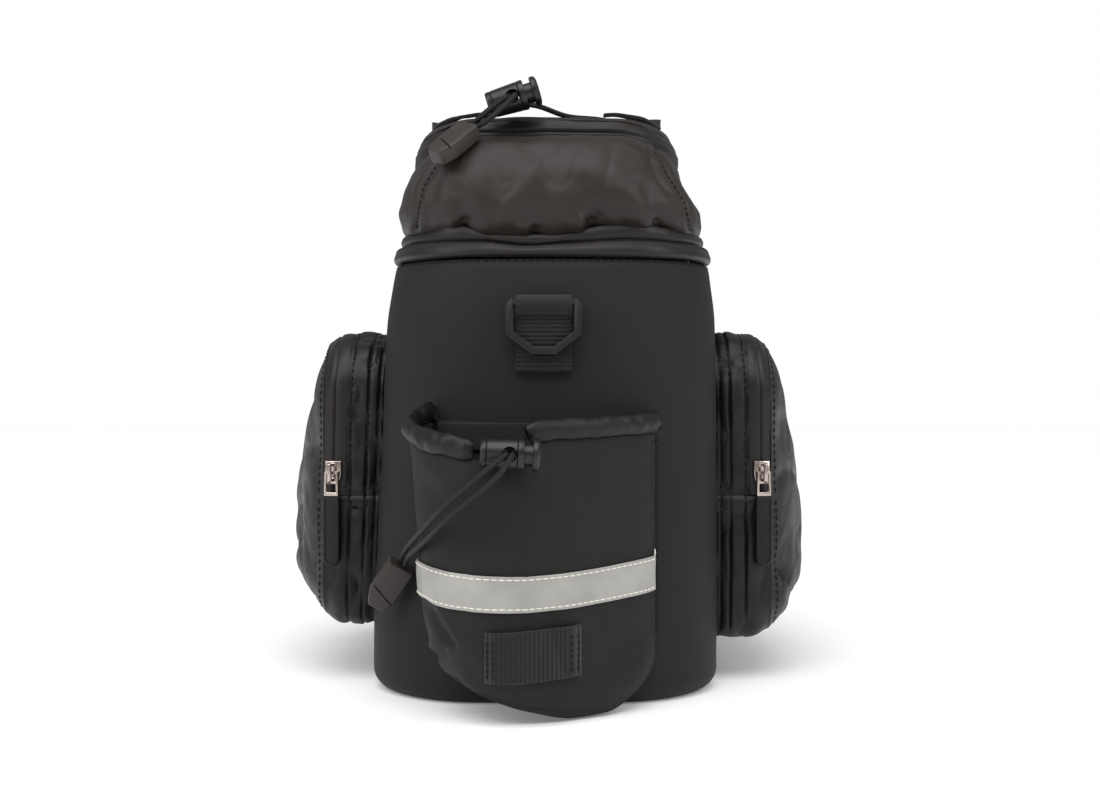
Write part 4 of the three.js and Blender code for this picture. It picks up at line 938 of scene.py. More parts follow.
PALE_THREAD = Moulded("pale_thread", srgb(214, 209, 198), srgb(232, 228, 218), 0.7, 0.3, grain=0.05 * MM)
FLOOR = StudioFloor("pale_floor", srgb(246, 246, 246), srgb(250, 250, 250), 0.9, 0.1)


@dataclass(frozen=True)
class Studio:
    """The camera, the floor, the sky and the lights."""

    eye: tuple[float, float, float] = (0.0013, -0.850, 0.135)
    lens: float = 52.24
    floor_radius: float = 8.0
    sky_light: float = 0.34
    sky_seen: float = 1.0

    def camera(self) -> None:
        """Puts the camera level with the bag's middle, behind its rear end."""
        data = bpy.data.cameras.new("camera")
        data.lens = self.lens
        data.clip_start = 0.01
        camera = bpy.data.objects.new("camera", data)
        camera.location = self.eye
        camera.rotation_euler = (QUARTER, 0.0, 0.0)
        bpy.context.scene.collection.objects.link(camera)
        bpy.context.scene.camera = camera

    def floor(self) -> None:
        """Lays a wide round floor under the bag."""
        turn = np.linspace(0, 2 * math.pi, 96, endpoint=False)
        ring = np.stack([np.cos(turn), np.sin(turn), turn * 0], axis=1) * self.floor_radius
        cast = Cast()
        cast.grid(np.stack([ring, ring * 0.3, ring * 0.05]), loop_columns=True, ends=Ends.NONE)
        cast.add(ring * 0.05, [list(range(len(ring)))])
        floor = cast.object("studio_floor")
        floor.data.materials.append(FLOOR.material())

    def sky(self) -> None:
        """A plain white surround that lights the bag softly."""
        world = bpy.data.worlds.new("studio")
        bpy.context.scene.world = world
        graph = Graph(world)
        seen = graph.node("LightPath", output="Is Camera Ray")
        strength = seen * (self.sky_seen - self.sky_light) + self.sky_light
        light = graph.node("Background", inputs={"Color": (1.0, 1.0, 1.0, 1.0), "Strength": strength})
        graph.node("OutputWorld", inputs={"Surface": light})

    def softbox(self, name: str, place: Sequence[float], aim: Sequence[float], size: tuple[float, float],
                watts: float) -> None:
        """Hangs a soft light.

        Args:
            name: Its name.
            place: Where it hangs.
            aim: What it points at.
            size: Its width and height.
            watts: Its power.
        """
        data = bpy.data.lights.new(name, "AREA")
        data.shape = "RECTANGLE"
        data.size, data.size_y = size
        data.energy = watts
        light = bpy.data.objects.new(name, data)
        light.location = place
        light.rotation_mode = "QUATERNION"
        light.rotation_quaternion = (Vector(aim) - Vector(place)).to_track_quat("-Z", "Y")
        bpy.context.scene.collection.objects.link(light)

    def daylight(self, strength: float) -> None:
        """Adds a wide, soft light from above that reaches the whole floor.

        Args:
            strength: How strong it is.
        """
        data = bpy.data.lights.new("daylight", "SUN")
        data.energy = strength
        data.angle = math.radians(55)
        light = bpy.data.objects.new("daylight", data)
        light.rotation_euler = (math.radians(28), 0.0, math.radians(-8))
        bpy.context.scene.collection.objects.link(light)

    def build(self) -> None:
        """Makes the whole studio."""
        self.camera()
        self.floor()
        self.sky()
        middle = (0.0, 0.0, 0.15)
        self.softbox("left_softbox", (-1.3, -0.8, 1.0), middle, (0.35, 1.1), 9)
        self.softbox("right_softbox", (1.3, -0.7, 1.0), middle, (0.35, 1.1), 8)
        self.daylight(2.1)
        bpy.context.scene.view_settings.view_transform = "Standard"


@dataclass(frozen=True)
class BagForm:
    """The bag's outline seen from above, and the lean and slump of its walls."""

    length: float
    width: float
    height: float
    rear_corner: float = 50 * MM
    front_corner: float = 42 * MM
    tightest: float = 3 * MM
    rear_bulge: float = 8 * MM
    front_bulge: float = 5 * MM
    taper: float = 7.4 * MM
    sway: float = 2.4 * MM
    lean_heights: tuple[float, ...] = (0, 0.08, 0.5, 0.86, 0.95, 1)
    lean_taper: tuple[float, ...] = (0, 0, 0.18, 0.5, 0.78, 1)
    lean_sway: tuple[float, ...] = (-0.4, -0.4, 0.3, 0.75, 0.95, 1)

    @classmethod
    def from_frame(cls) -> "BagForm":
        """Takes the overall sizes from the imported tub.

        Returns:
            The form.
        """
        low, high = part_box("tub")
        foot = cls.lean_sway[0] * cls.sway
        return cls(high[1] - low[1], 2 * (foot - low[0]), high[2] - low[2])

    def inset(self, z: Any) -> np.ndarray:
        """How far the walls lean in at a height."""
        return self.taper * Track(self.lean_heights, self.lean_taper)(np.asarray(z) / self.height)

    def slump(self, z: Any) -> np.ndarray:
        """How far the walls slump to the right at a height, as a share of the sway."""
        return Track(self.lean_heights, self.lean_sway)(np.asarray(z) / self.height)

    def side_face(self, z: Any, side: int) -> np.ndarray:
        """X of a side wall at a height."""
        return side * (self.width / 2 - self.inset(z)) + self.sway * self.slump(z)

    def rear_face(self, across: Any, z: Any) -> np.ndarray:
        """The rear panel's Y at a place.

        Args:
            across: Its X.
            z: Its height.

        Returns:
            The Y.
        """
        x = np.asarray(across) - self.sway * self.slump(z)
        inset = self.inset(z)
        half = self.width / 2 - inset
        radius = self.rear_corner - inset
        past = np.maximum(np.abs(x) - (half - radius), 0)
        rounding = radius - np.sqrt(np.maximum(radius**2 - past**2, 0))
        return -self.length / 2 + inset + rounding + self.rear_bulge * (x / half) ** 2

    def ring(self, insets: Sequence[float], heights: Sequence[float], slump: float,
             fine: float = 1.0) -> tuple[np.ndarray, np.ndarray]:
        """Points round the bag, the rear edge first and then its right side.

        Args:
            insets: How far in it lies at the sides, rear and front.
            heights: Its height at the sides, rear and front.
            slump: Share of the sway.
            fine: How many times the usual count of points it has.

        Returns:
            The points, and for each how far it belongs to the rear end.
        """
        side, rear, front = insets
        half = self.width / 2 - side
        rear_line = -self.length / 2 + self.rear_bulge + rear
        front_line = self.length / 2 - self.front_bulge - front
        rear_radius = max(self.rear_corner - side, self.tightest)
        front_radius = max(self.front_corner - side, self.tightest)
        rear_flat, front_flat = half - rear_radius, half - front_radius
        rear_centre, front_centre = rear_line + rear_radius, front_line - front_radius

        def shares(count: int) -> np.ndarray:
            """Even places from 0 towards 1."""
            return np.linspace(0, 1, int(count * fine), endpoint=False)

        def corner(flat: float, radius: float, centre: float, start: float, count: int) -> list[np.ndarray]:
            """A rounded corner's points and how far each belongs to its end."""
            turn = start + shares(count) * QUARTER
            return [flat + radius * np.cos(turn), centre + radius * np.sin(turn), np.sin(turn) ** 2]

        s = shares(48)
        runs = [([mix(-rear_flat, rear_flat, s), s * 0 + rear_line, s * 0 + 1], -1)]
        runs.append((corner(rear_flat, rear_radius, rear_centre, -QUARTER, 44), -1))
        s = shares(56)
        runs.append(([s * 0 + half, mix(rear_centre, front_centre, s), s * 0], 0))
        runs.append((corner(front_flat, front_radius, front_centre, 0, 28), 1))
        s = shares(40)
        runs.append(([mix(front_flat, -front_flat, s), s * 0 + front_line, s * 0 + 1], 1))
        runs.append((corner(-front_flat, front_radius, front_centre, QUARTER, 28), 1))
        s = shares(56)
        runs.append(([s * 0 - half, mix(front_centre, rear_centre, s), s * 0], 0))
        runs.append((corner(-rear_flat, rear_radius, rear_centre, 2 * QUARTER, 44), -1))
        points, rears = [], []
        for (x, y, share), end in runs:
            crown = 1 - (x / half) ** 2
            bulge = {-1: -self.rear_bulge, 0: 0.0, 1: self.front_bulge}[end]
            high = heights[1] if end < 0 else heights[2]
            z = heights[0] + (high - heights[0]) * share
            points.append(np.stack([x + self.sway * slump, y + bulge * crown, z], axis=1))
            rears.append(share if end < 0 else share * 0)
        return np.vstack(points), np.concatenate(rears)

    def level(self, inset: float, height: float, slump: float, fine: float = 1.0) -> np.ndarray:
        """A ring at one inset and one height."""
        return self.ring((inset,) * 3, (height,) * 3, slump, fine)[0]


def outwards(ring: np.ndarray) -> np.ndarray:
    """Level normals of a ring that runs round to the left."""
    along = np.roll(ring, -1, axis=0) - np.roll(ring, 1, axis=0)
    return unit(np.cross(along, [0.0, 0.0, 1.0]))


def closed_line(ring: np.ndarray) -> np.ndarray:
    """The ring with its first point again at its end."""
    return np.vstack([ring, ring[:1]])


def behind(across: np.ndarray, up: Any) -> np.ndarray:
    """Places well behind the bag, from which rays run ahead to its cloth."""
    return np.column_stack([across, across * 0 - 0.3, across * 0 + up])


@dataclass
class Tub:
    """The padded tub: its walls, rounded foot and the stitched seam under the zip."""

    form: BagForm
    wall: float = 4 * MM
    foot: float = 9 * MM
    roll: float = 2.2 * MM  # rounding into the seam at the top
    FOLDS = (
        Crease((55, 190), (67, 162), 7, 0.9),
        Crease((-60, 192), (-70, 160), 7, 0.7),
        Crease((38, 176), (60, 150), 12, 0.5),
        Crease((-66, 60), (-58, 30), 9, 0.6),
    )

    def rows(self) -> np.ndarray:
        """Lays out the outside, from the base to the top seam.

        Returns:
            Rows of points.
        """
        form = self.form
        rows = []
        for turn in np.linspace(0, QUARTER, 8, endpoint=False):
            rows.append(form.level(self.foot * (1 - math.sin(turn)), self.foot * (1 - math.cos(turn)), -0.4))
        for z in np.linspace(self.foot, form.height - self.roll, 66):
            rows.append(form.level(float(form.inset(z)), z, float(form.slump(z))))
        for turn in np.linspace(0, QUARTER, 7)[1:]:
            inset = float(form.inset(form.height)) + self.roll * 0.8 * (1 - math.cos(turn))
            rows.append(form.level(inset, form.height - self.roll * (1 - math.sin(turn)), 1.0))
        return np.array(rows)

    def build(self) -> None:
        """Makes the tub and its top seam."""
        form = self.form
        outer = self.rows()
        z = outer[..., 2]
        calm = rise(z, 8 * MM, 40 * MM) * (1 - rise(z, form.height - 14 * MM, form.height - 2 * MM))
        lumps = noise_at(outer, 85 * MM, 2, 3.0) * 1.1 * MM + noise_at(outer, 22 * MM, 2, 9.0) * 0.16 * MM
        rear = rise(-outer[..., 1], 90 * MM, 125 * MM)
        lumps = lumps + creased(self.FOLDS, outer[..., 0], outer[..., 2]) * rear
        outer = outer + grid_normals(outer, True) * (lumps * calm)[..., None]
        inner = [form.level(float(form.inset(h)) + self.wall, h, float(form.slump(h)))
                 for h in np.linspace(form.height, self.foot, 14)]
        inner.append(form.level(self.wall + self.foot * 0.6, self.wall, -0.4))
        shell("tub_cloth", np.concatenate([outer, np.array(inner)]), BODY_CLOTH, "tub")
        line = form.level(float(form.inset(form.height)) + 0.25 * MM, form.height - self.roll * 0.55, 1.0)
        out = unit(outwards(line) + 0.5 * UP)
        stitched("tub_top_stitches", DARK_THREAD, Slot.BODY,
                 (Stitching(2.3 * MM, 1.0 * MM, 0.36 * MM), closed_line(line), closed_line(out)))


@dataclass
class MainZip:
    """The main zip: its full lower tape, its coil and the upper tape that waves with the lid."""

    form: BagForm
    upper: float = 4.6 * MM
    lean: float = 4 * MM
    wall: float = 1.4 * MM
    coil: float = 1.15 * MM  # pitch of its teeth
    bulge: float = 0.9 * MM  # of the upper tape, halfway up
    DIP = Track((-0.7, -0.4, -0.13, 0.08, 0.4), (0, -0.5, -2.6, -1.4, 0))
    WAVE = Track((-0.76, -0.56, -0.32, 0, 0.26, 0.45, 0.62, 0.84),
                 (-0.4, 0.6, -0.6, -0.7, 0.3, 0.7, 0.5, -0.6))
    SECTION = Track((0, 0.12, 0.32, 0.62, 0.86, 1), (0.62, 0.06, -0.12, 0.02, 0.42, 0.86))

    def __post_init__(self) -> None:
        """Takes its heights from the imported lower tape."""
        low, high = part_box("main_zip_lower_tape")
        self.base, self.line = low[2], high[2]
        self.inset = self.form.taper - 1 * MM

    def ring(self, inset: float, height: float, fine: float = 1.0, dip: float = 0.0,
             wave: float = 0.0) -> np.ndarray:
        """A ring of the zip, with shares of its dip and of the lid's wave at the rear.

        Args:
            inset: How far in it lies.
            height: Its height at the sides.
            fine: How many times the usual count of points it has.
            dip: Share of the dip in the zip line.
            wave: Share of the wave.

        Returns:
            The ring's points.
        """
        points, rear = self.form.ring((inset,) * 3, (height,) * 3, 1.0, fine)
        across = (points[:, 0] - self.form.sway) / (self.form.width / 2)
        points[:, 2] += rear * MM * (self.DIP(across) * dip + 3.5 * self.WAVE(across) * wave)
        return points

    def tape(self, shares: np.ndarray, fine: float = 1.0) -> np.ndarray:
        """Rows of the lower tape's outside, at shares of its height."""
        return np.array([self.ring(self.inset + self.lean * float(self.SECTION(t)),
                                   mix(self.base, self.line, t), fine, dip=t**2) for t in shares])

    def lumps(self, rows: np.ndarray) -> np.ndarray:
        """How far the lower tape swells at each point."""
        return noise_at(rows, 26 * MM, 2, 5.0) * 0.5 * MM + noise_at(rows, 7 * MM, 2, 6.0) * 0.12 * MM

    def build(self) -> None:
        """Makes both tapes and the coil."""
        rows = self.tape(np.linspace(0, 1, 20))
        rows = rows + grid_normals(rows, True) * self.lumps(rows)[..., None] * 0.8
        sheet("lower_tape_laminate", rows, self.wall, ZIP_CLOTH, "main_zip_lower_tape", True)
        self.build_coil()
        inset = self.inset + self.lean
        foot = self.line + 0.3 * MM
        rows = np.array([self.ring(inset - self.bulge * math.sin(t * math.pi), foot + self.upper * t,
                                   1.5, 1 - t, t) for t in np.linspace(0, 1, 9)])
        rows = rows + grid_normals(rows, True) * (noise_at(rows, 9 * MM, 2, 7.0) * 0.25 * MM)[..., None]
        sheet("upper_tape_laminate", rows, self.wall, ZIP_CLOTH, "main_zip_upper_tape", True)

    def build_coil(self) -> None:
        """Makes the ribs of the closed coil along the zip line."""
        rows = self.tape(np.linspace(0.7, 1.02, 6), 8.0)
        run = np.cumsum(np.linalg.norm(np.diff(rows[2], axis=0, prepend=rows[2][-1:]), axis=1))
        turns = max(round(run[-1] / self.coil), 1)
        rib = np.abs(np.sin(math.pi * turns * run / run[-1])) ** 0.6 - 0.4
        swell = np.array([0.0, 0.7, 1.0, 1.0, 0.8, 0.2])[:, None]
        lift = swell * (rib * 0.3 * MM + 0.3 * MM)[None, :] + self.lumps(rows) * 0.8 + 0.1 * MM
        rows = rows + grid_normals(rows, True) * lift[..., None]
        cast = Cast()
        cast.grid(walled(rows, 0.5 * MM, True, 1), True, True)
        dressed(cast.object("main_zip_coil"), ZIP_CLOTH, "main_zip_lower_tape")


@dataclass
class Lid:
    """The lid: its loose gathered gusset, the zipped tier and the soft top."""

    form: BagForm
    base: float = 210.4 * MM
    rise: tuple[float, ...] = (34 * MM, 44 * MM, 34 * MM)  # at the sides, rear and front
    setback: tuple[float, ...] = (17.5 * MM, 38 * MM, 20 * MM)
    wall: float = 1.6 * MM
    tier_height: float = 12.5 * MM
    tier_extra: float = 2 * MM
    tier_lean: float = 2 * MM
    tier_wall: float = 1.4 * MM
    crown: float = 11.8 * MM
    top_wall: float = 2.6 * MM
    slump: float = -0.2
    drawn: float = 0.6  # share of the way in past which the top's rings draw in to its middle line
    ROWS = {
        "side_rise": (0, 0.14, 0.3, 0.48, 0.66, 0.8, 0.9, 0.96, 1),
        "side_in": (0.68, 0.59, 0.57, 0.73, 0.89, 0.97, 0.99, 1, 1),
        "rear_rise": (0, 0.12, 0.3, 0.52, 0.76, 0.93, 1, 0.95, 0.88),
        "rear_in": (0.32, 0.17, 0.12, 0.16, 0.29, 0.46, 0.66, 0.86, 1),
        "slump": (1, 0.85, 0.55, 0, -0.6, -0.6, -0.3, -0.2, -0.2),
        "wave": (1, 0.6, 0.1, 0, 0, 0, 0, 0, 0),
        "gather": (1, 0.8, 0.2, 0, 0, 0, 0, 0, 0),
    }
    PUCKERS = ((-0.47, 1.0), (-0.06, 0.6), (0.28, 0.9), (0.66, 0.8))  # place across and depth
    FOLDS = (
        Crease((-43, 230), (-31, 211), 4.2, 1.5),
        Crease((-19, 243), (-27, 216), 7, 1.2),
        Crease((-7, 212), (3, 236), 5.5, 1.0),
        Crease((20, 212), (14, 234), 5.5, 1.2),
        Crease((50, 212), (43, 232), 4.5, 1.3),
        Crease((30, 245), (54, 228), 7, 1.1),
        Crease((-53, 214), (-50, 233), 3.4, 1.0),
        Crease((34, 214), (30, 226), 3.2, 0.8),
        Crease((-16, 211), (-13, 222), 3.0, 0.8),
        Crease((-38.5, 209), (-37, 215.5), 2.4, 3.0),
        Crease((-6.5, 206), (-5.5, 212), 2.2, 2.6),
        Crease((18.5, 208), (20, 215), 2.4, 3.0),
        Crease((50.5, 209), (49, 215), 2.4, 2.6),
    )
    SEAMS = (((-60, 213), (-56, 231), (-49, 242), (-44, 252)),
             ((65.5, 212), (62.5, 225), (55, 237), (49, 249)))

    def gusset_rows(self) -> np.ndarray:
        """Lays out the gusset's outside, from the zip to the tier.

        Returns:
            Rows of points.
        """
        count = len(self.ROWS["wave"])
        tracks = {key: Track(range(count), values) for key, values in self.ROWS.items()}
        rows = []
        for t in np.linspace(0, count - 1, 72):
            at = {key: float(track(t)) for key, track in tracks.items()}
            insets = [share * set_by for share, set_by in
                      zip((at["side_in"], at["rear_in"], at["side_in"]), self.setback)]
            heights = [self.base + share * up for share, up in
                       zip((at["side_rise"], at["rear_rise"], at["side_rise"]), self.rise)]
            points, rear = self.form.ring(insets, heights, at["slump"], 1.5)
            across = points[:, 0] / (self.form.width / 2)
            pits = sum(depth * np.exp(-(((across - place) * self.form.width / 2 / (6 * MM)) ** 2))
                       for place, depth in self.PUCKERS)
            points[:, 1] += rear * at["gather"] * pits * 3.6 * MM
            points[:, 2] += rear * at["wave"] * (3.5 * MainZip.WAVE(across) - 1.2) * MM
            rows.append(points)
        return np.array(rows)

    def build_gusset(self) -> None:
        """Makes the gusset and the stitches along its panel seams."""
        rows = self.gusset_rows()
        normal = grid_normals(rows, True)
        x, y, z = rows[..., 0], rows[..., 1], rows[..., 2]
        at_rear = rise(-y, 40 * MM, 95 * MM)
        lift = creased(self.FOLDS, x, z) * at_rear
        side_folds = (folds_at(rows, 34 * MM, (1, 1.5, 1.2), 4.0) - 0.55) * 2.2 * MM
        hem = 1 - rise(z, self.base, self.base + 16 * MM)
        gathers = noise_at(rows, 8 * MM, 2, 8.0) * 0.9 * MM * hem
        small = (folds_at(rows, 15 * MM, (1, 1, 1.6), 2.0) - 0.55) * 0.7 * MM
        lift = lift + side_folds * (1 - 0.45 * at_rear) + gathers + small
        edge = np.sin(np.linspace(0, 1, len(rows)) * math.pi)[:, None] ** 0.35
        for seam in self.SEAMS:
            line = resampled(np.array(seam, float) * MM, 80)
            away = np.min(np.hypot(x[..., None] - line[:, 0], z[..., None] - line[:, 1]), axis=2)
            lift = lift - 1.5 * MM * np.exp(-((away / (1.0 * MM)) ** 2)) * at_rear
            lift = lift + 0.7 * MM * np.exp(-(((away - 2.8 * MM) / (1.4 * MM)) ** 2)) * at_rear
        rows = rows + normal * (lift * edge)[..., None]
        tree = tree_of(sheet("lid_gusset_cloth", rows, self.wall, LID_CLOTH, "lid_gusset", True))
        runs = []
        for seam in self.SEAMS:
            line = resampled(np.array(seam, float) * MM, 60)
            path = landed(tree, behind(line[:, 0], line[:, 1]), AHEAD, 0.0)
            runs.append((Stitching(2.0 * MM, 0.8 * MM, 0.3 * MM), path, path * 0 - AHEAD))
        stitched("lid_seam_stitches", DARK_THREAD, Slot.LID, *runs)

    def tier_insets(self, lean: float) -> list[float]:
        """The tier's insets at the sides, rear and front."""
        return [by + lean for by in self.setback]

    def tier_heights(self, share: float) -> list[float]:
        """The tier's heights at a share of its own height.

        Args:
            share: The share.

        Returns:
            The heights at the sides, rear and front.
        """
        base = [self.base + up * end + 0.3 * MM for up, end in zip(self.rise, (1, 0.88, 1))]
        tall = [self.tier_height, self.tier_height + self.tier_extra, self.tier_height]
        return [low + high * share for low, high in zip(base, tall)]

    def build_tier(self) -> None:
        """Makes the zipped band between the gusset and the top."""
        lean = Track((0, 0.2, 0.5, 0.8, 1), (0, -0.25, -0.3, 0.3, 1))
        shares = np.linspace(0, 1, 30)
        rows = np.array([self.form.ring(self.tier_insets(self.tier_lean * float(lean(t))),
                                        self.tier_heights(t), self.slump)[0] for t in shares])
        slit = -0.9 * MM * np.exp(-(((shares - 0.66) / 0.035) ** 2))[:, None]
        lumps = noise_at(rows, 24 * MM, 2, 1.0) * 0.7 * MM + noise_at(rows, 8 * MM, 2, 2.0) * 0.2 * MM
        rows = rows + grid_normals(rows, True) * (slit + lumps)[..., None]
        sheet("tier_laminate", rows, self.tier_wall, ZIP_CLOTH, "lid_zip_band", True)

    def build_top(self) -> bpy.types.Object:
        """Makes the soft top.

        Returns:
            The top.
        """
        reach = self.form.width / 2 - self.tier_insets(self.tier_lean)[0]
        edge = self.tier_heights(1)
        centre = edge[0] + 0.3 * MM + self.crown
        up = Track((0, 0.046, 0.166, 0.386, 0.644, 1), (0, 0.36, 0.52, 0.78, 0.94, 1))

        def ring(inward: float, drop: float) -> np.ndarray:
            """One ring of the top. The last ones draw in to the middle line.

            Args:
                inward: Its share of the way in.
                drop: How far under the outside it lies.

            Returns:
                Its points.
            """
            at = min(inward, self.drawn)
            insets = [by + reach * at for by in self.tier_insets(self.tier_lean)]
            heights = [mix(z + 0.3 * MM, centre, float(up(at))) - drop for z in edge]
            points = self.form.ring(insets, heights, self.slump)[0]
            middle = points.copy()
            middle[:, 0] = self.form.sway * self.slump
            half = reach * (1 - at)
            middle[:, 1] = np.clip(points[:, 1], points[:, 1].min() + half, points[:, 1].max() - half)
            middle[:, 2] = centre - drop
            return mix(points, middle, (inward - at) / (1 - self.drawn))

        ways = np.concatenate([np.linspace(0, 0.06, 8), np.linspace(0.08, 1, 37)])
        outer = np.array([ring(w, 0.0) for w in ways])
        calm = rise(ways, 0.0, 0.1)[:, None]
        lumps = noise_at(outer, 40 * MM, 2, 6.0) * 1.2 * MM
        lumps = lumps + (folds_at(outer, 26 * MM, (1, 1, 1), 3.0) - 0.6) * 0.9 * MM
        normals = grid_normals(outer, True)
        normals[ways > self.drawn] = UP
        outer = outer + normals * (lumps * calm)[..., None]
        inner = np.array([ring(max(w, 0.04), self.top_wall) for w in ways[::4]])
        inner[0] = outer[0] + outwards(outer[0]) * -self.top_wall
        cast = Cast()
        cast.grid(np.concatenate([inner[::-1], outer]), loop_columns=True)
        return dressed(cast.object("lid_top_cloth", weld=0.02 * MM), LID_CLOTH, "lid_top")


def eased(node: str, name: str, edge: float, steps: int = 3) -> bpy.types.Object:
    """A copy of a node's mesh with its edges rounded.

    Args:
        node: The CAD node.
        name: The new object's name.
        edge: Radius of the rounding.
        steps: Faces across each rounded edge.

    Returns:
        The new object.
    """
    work = bmesh.new()
    work.from_mesh(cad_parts[node].data)
    bmesh.ops.remove_doubles(work, verts=work.verts, dist=1e-6)
    bmesh.ops.dissolve_limit(work, angle_limit=math.radians(1.5), verts=work.verts, edges=work.edges)
    mesh = bpy.data.meshes.new(name)
    work.to_mesh(mesh)
    work.free()
    mesh.uv_layers.new(name=PLACE)
    piece = finished(mesh, name, 30.0)
    bevel = piece.modifiers.new("rounding", "BEVEL")
    bevel.width = edge
    bevel.segments = steps
    bevel.limit_method = "ANGLE"
    bevel.angle_limit = math.radians(28)
    bevel.use_clamp_overlap = True
    return applied(piece, 30.0)


def tree_of(*pieces: bpy.types.Object) -> BVHTree:
    """Gathers the surfaces of pieces, to cast rays at.

    Args:
        pieces: The pieces.

    Returns:
        Their faces, ready for rays.
    """
    points, faces = [], []
    for piece in pieces:
        start = len(points)
        points.extend(v.co.copy() for v in piece.data.vertices)
        faces.extend([start + i for i in p.vertices] for p in piece.data.polygons)
    return BVHTree.FromPolygons(points, faces)


def landed(tree: BVHTree, points: np.ndarray, ray: Sequence[float], above: Any) -> np.ndarray:
    """Points moved along a ray onto a surface.

    Args:
        tree: The surface.
        points: Grid or list of points, well before the surface.
        ray: The ray's direction.
        above: How far before the surface they stop.

    Returns:
        The moved points. One that meets nothing keeps its neighbour's distance.
    """
    flat = points.reshape(-1, 3)
    far = []
    for p in flat:
        hit = tree.ray_cast(Vector(p), Vector(ray))
        far.append(hit[3] if hit[0] else (far[-1] if far else 0.0))
    moved = np.array(far).reshape(points.shape[:-1]) - above
    return points + np.array(ray) * moved[..., None]


